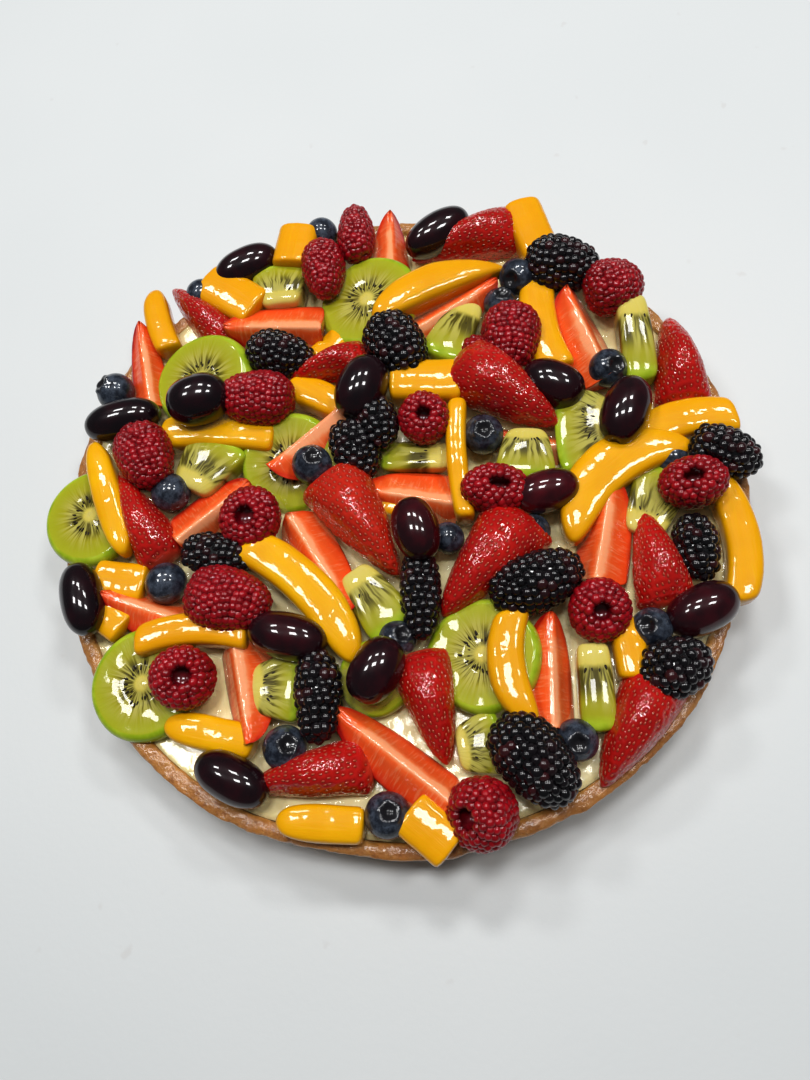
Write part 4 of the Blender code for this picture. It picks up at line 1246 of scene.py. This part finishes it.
def make_mangoes():
    flesh = mango_flesh()
    for number, (x, y, z, turn, lift, length, width, thickness, bend, ends) in enumerate(MANGO_SLICES, 1):
        shape = mango(length, width, thickness, bend, ends, 140 + number)
        name = numbered("mango_slice", number)
        make_piece(name, shape, [flesh], pose(x, y, z, turn, lift), ["cream_with_fruit"])
    for number, (x, y, z, turn, length, width, thickness) in enumerate(MANGO_BLOCKS, 1):
        shape = mango(length, width, thickness, 0.0, "cc", 170 + number)
        name = numbered("mango_block", number)
        make_piece(name, shape, [flesh], pose(x, y, z, turn), ["cream_with_fruit"])


def make_wedges():
    flesh = strawberry_flesh()
    for number, (x, y, z, turn, roll, length, radius, pale_side) in enumerate(STRAWBERRY_WEDGES, 1):
        shape = wedge(length, radius * WEDGE_SWELL, pale_side, 180 + number)
        name = numbered("strawberry_wedge", number)
        make_piece(name, shape, [flesh], pose(x, y, z, turn, 0, roll), ["cream_with_fruit"])


def make_blueberries():
    skin = blueberry_skin()
    for number, (x, y, z, width, crown) in enumerate(BLUEBERRIES, 1):
        matrix = blueberry_pose(x, y, z, width, crown)
        shape = blueberry(width, 200 + number)
        make_piece(numbered("blueberry", number), shape, [skin], matrix, ["cream_with_fruit"])


def make_shell():
    level = Matrix.Identity(4)
    make_piece("crust_baked", crust(), [baked_crust()], level, ["crust"])
    make_piece("cream_filling", cream(), [pastry_cream()], level, ["cream_with_fruit"])


def blurred(values, spread):
    """The values of a square grid, smoothed over so many cells."""
    steps = np.arange(-int(3 * spread), int(3 * spread) + 1)
    kernel = np.exp(-0.5 * (steps / spread) ** 2)
    kernel /= kernel.sum()
    for axis in (0, 1):
        values = np.apply_along_axis(lambda line: np.convolve(line, kernel, mode="same"), axis, values)
    return values


def heights_from_above(ticks):
    """Heights in millimetres of what shows from straight above, on a square grid."""
    bpy.context.view_layer.update()
    graph = bpy.context.evaluated_depsgraph_get()
    scene = bpy.context.scene
    down = Vector((0, 0, -1))
    heights = np.full((len(ticks), len(ticks)), SHELL_HEIGHT)
    for row, y in enumerate(ticks):
        for column, x in enumerate(ticks):
            if math.hypot(x, y) < SHELL_RADIUS:
                hit, place, *_ = scene.ray_cast(graph, Vector((x, y, 100)) * TO_METRES, down)
                if hit:
                    heights[row, column] = place.z / TO_METRES
    return heights


def hollow_places():
    """Where the open ends of the raspberries are."""
    places = []
    for x, y, z, turn, lift, length, width, depth in RASPBERRIES:
        if lift < OPEN_LIFT:
            places.append(pose(x, y, z, turn, lift) @ Vector((-length / 2, 0, 0)))
    return places


def make_glaze():
    """Clear glaze that has run into the gaps between the fruit and set in smooth hollows."""
    reach = SHELL_RADIUS - WALL
    ticks = np.arange(-reach, reach + GLAZE_GRID, GLAZE_GRID)
    heights = heights_from_above(ticks)
    level = blurred(heights, GLAZE_SPREAD / GLAZE_GRID) - GLAZE_DROP
    level = np.maximum(level, CREAM_TOP + GLAZE_FILM)
    x, y = np.meshgrid(ticks, ticks)
    inside = (np.hypot(x, y) < reach) & (level > heights - GLAZE_TUCK)
    keep = inside[:-1, :-1] | inside[1:, :-1] | inside[:-1, 1:] | inside[1:, 1:]
    keep &= np.hypot(x, y)[:-1, :-1] < reach
    for place in hollow_places():
        keep &= np.hypot(x - place.x, y - place.y)[:-1, :-1] > HOLLOW_CLEAR
    number = np.arange(level.size).reshape(level.shape)
    quads = np.stack([number[:-1, :-1], number[:-1, 1:], number[1:, 1:], number[1:, :-1]], axis=-1)[keep]
    used, faces = np.unique(quads, return_inverse=True)
    points = np.stack([x.ravel(), y.ravel(), level.ravel()], axis=-1)[used]
    shape = Shape(points, faces.reshape(-1, 4).tolist())
    make_piece("glaze_clear", shape, [clear_glaze()], Matrix.Identity(4), [])


# Surroundings

def make_floor():
    bpy.ops.mesh.primitive_plane_add(size=FLOOR_SIZE, location=(0, 0, 0))
    floor = bpy.context.object
    floor.name = "floor"
    floor.data.materials.append(floor_paint())


def add_area(name, place, aim, size, power, colour=(1.0, 1.0, 1.0)):
    data = bpy.data.lights.new(name, "AREA")
    data.shape = "RECTANGLE"
    data.size, data.size_y = size
    data.energy = power
    data.color = colour
    lamp = bpy.data.objects.new(name, data)
    bpy.context.scene.collection.objects.link(lamp)
    lamp.location = place
    lamp.rotation_euler = (Vector(aim) - Vector(place)).to_track_quat("-Z", "Y").to_euler()
    return lamp


def make_lights():
    """Rows of small ceiling panels, so that each wet surface shows a group of bright spots."""
    for column in range(PANEL_COLUMNS):
        for row in range(PANEL_ROWS):
            x = PANEL_SPACING * (column - (PANEL_COLUMNS - 1) / 2)
            y = PANEL_SPACING * (row - (PANEL_ROWS - 1) / 2) + PANEL_SHIFT
            below = (x, y, 0)
            add_area(f"panel_{column}_{row}", (x, y, PANEL_HEIGHT), below, PANEL_SIZE, PANEL_WATTS)
    world = bpy.data.worlds.new("room")
    world.use_nodes = True
    background = world.node_tree.nodes["Background"]
    background.inputs["Color"].default_value = (0.95, 0.98, 1.0, 1.0)
    background.inputs["Strength"].default_value = ROOM_LIGHT
    bpy.context.scene.world = world
    view = bpy.context.scene.view_settings
    view.view_transform = "Standard"
    view.exposure = EXPOSURE
    view.gamma = GAMMA


def make_camera():
    data = bpy.data.cameras.new("camera")
    data.sensor_width = SENSOR
    data.sensor_fit = "AUTO"
    data.lens = FOCAL_PIXELS / PHOTO_HEIGHT * SENSOR
    data.clip_start = 0.01
    camera = bpy.data.objects.new("camera", data)
    bpy.context.scene.collection.objects.link(camera)
    axes = Matrix((CAMERA_RIGHT, CAMERA_UP, CAMERA_BACK)).transposed()
    camera.matrix_world = Matrix.Translation(CAMERA_PLACE) @ axes.to_4x4()
    bpy.context.scene.camera = camera


make_camera()
make_shell()
make_mangoes()
make_kiwis()
make_wedges()
make_blueberries()
make_grapes()
make_brambles()
make_raspberries()
make_strawberries()
make_glaze()
make_floor()
make_lights()
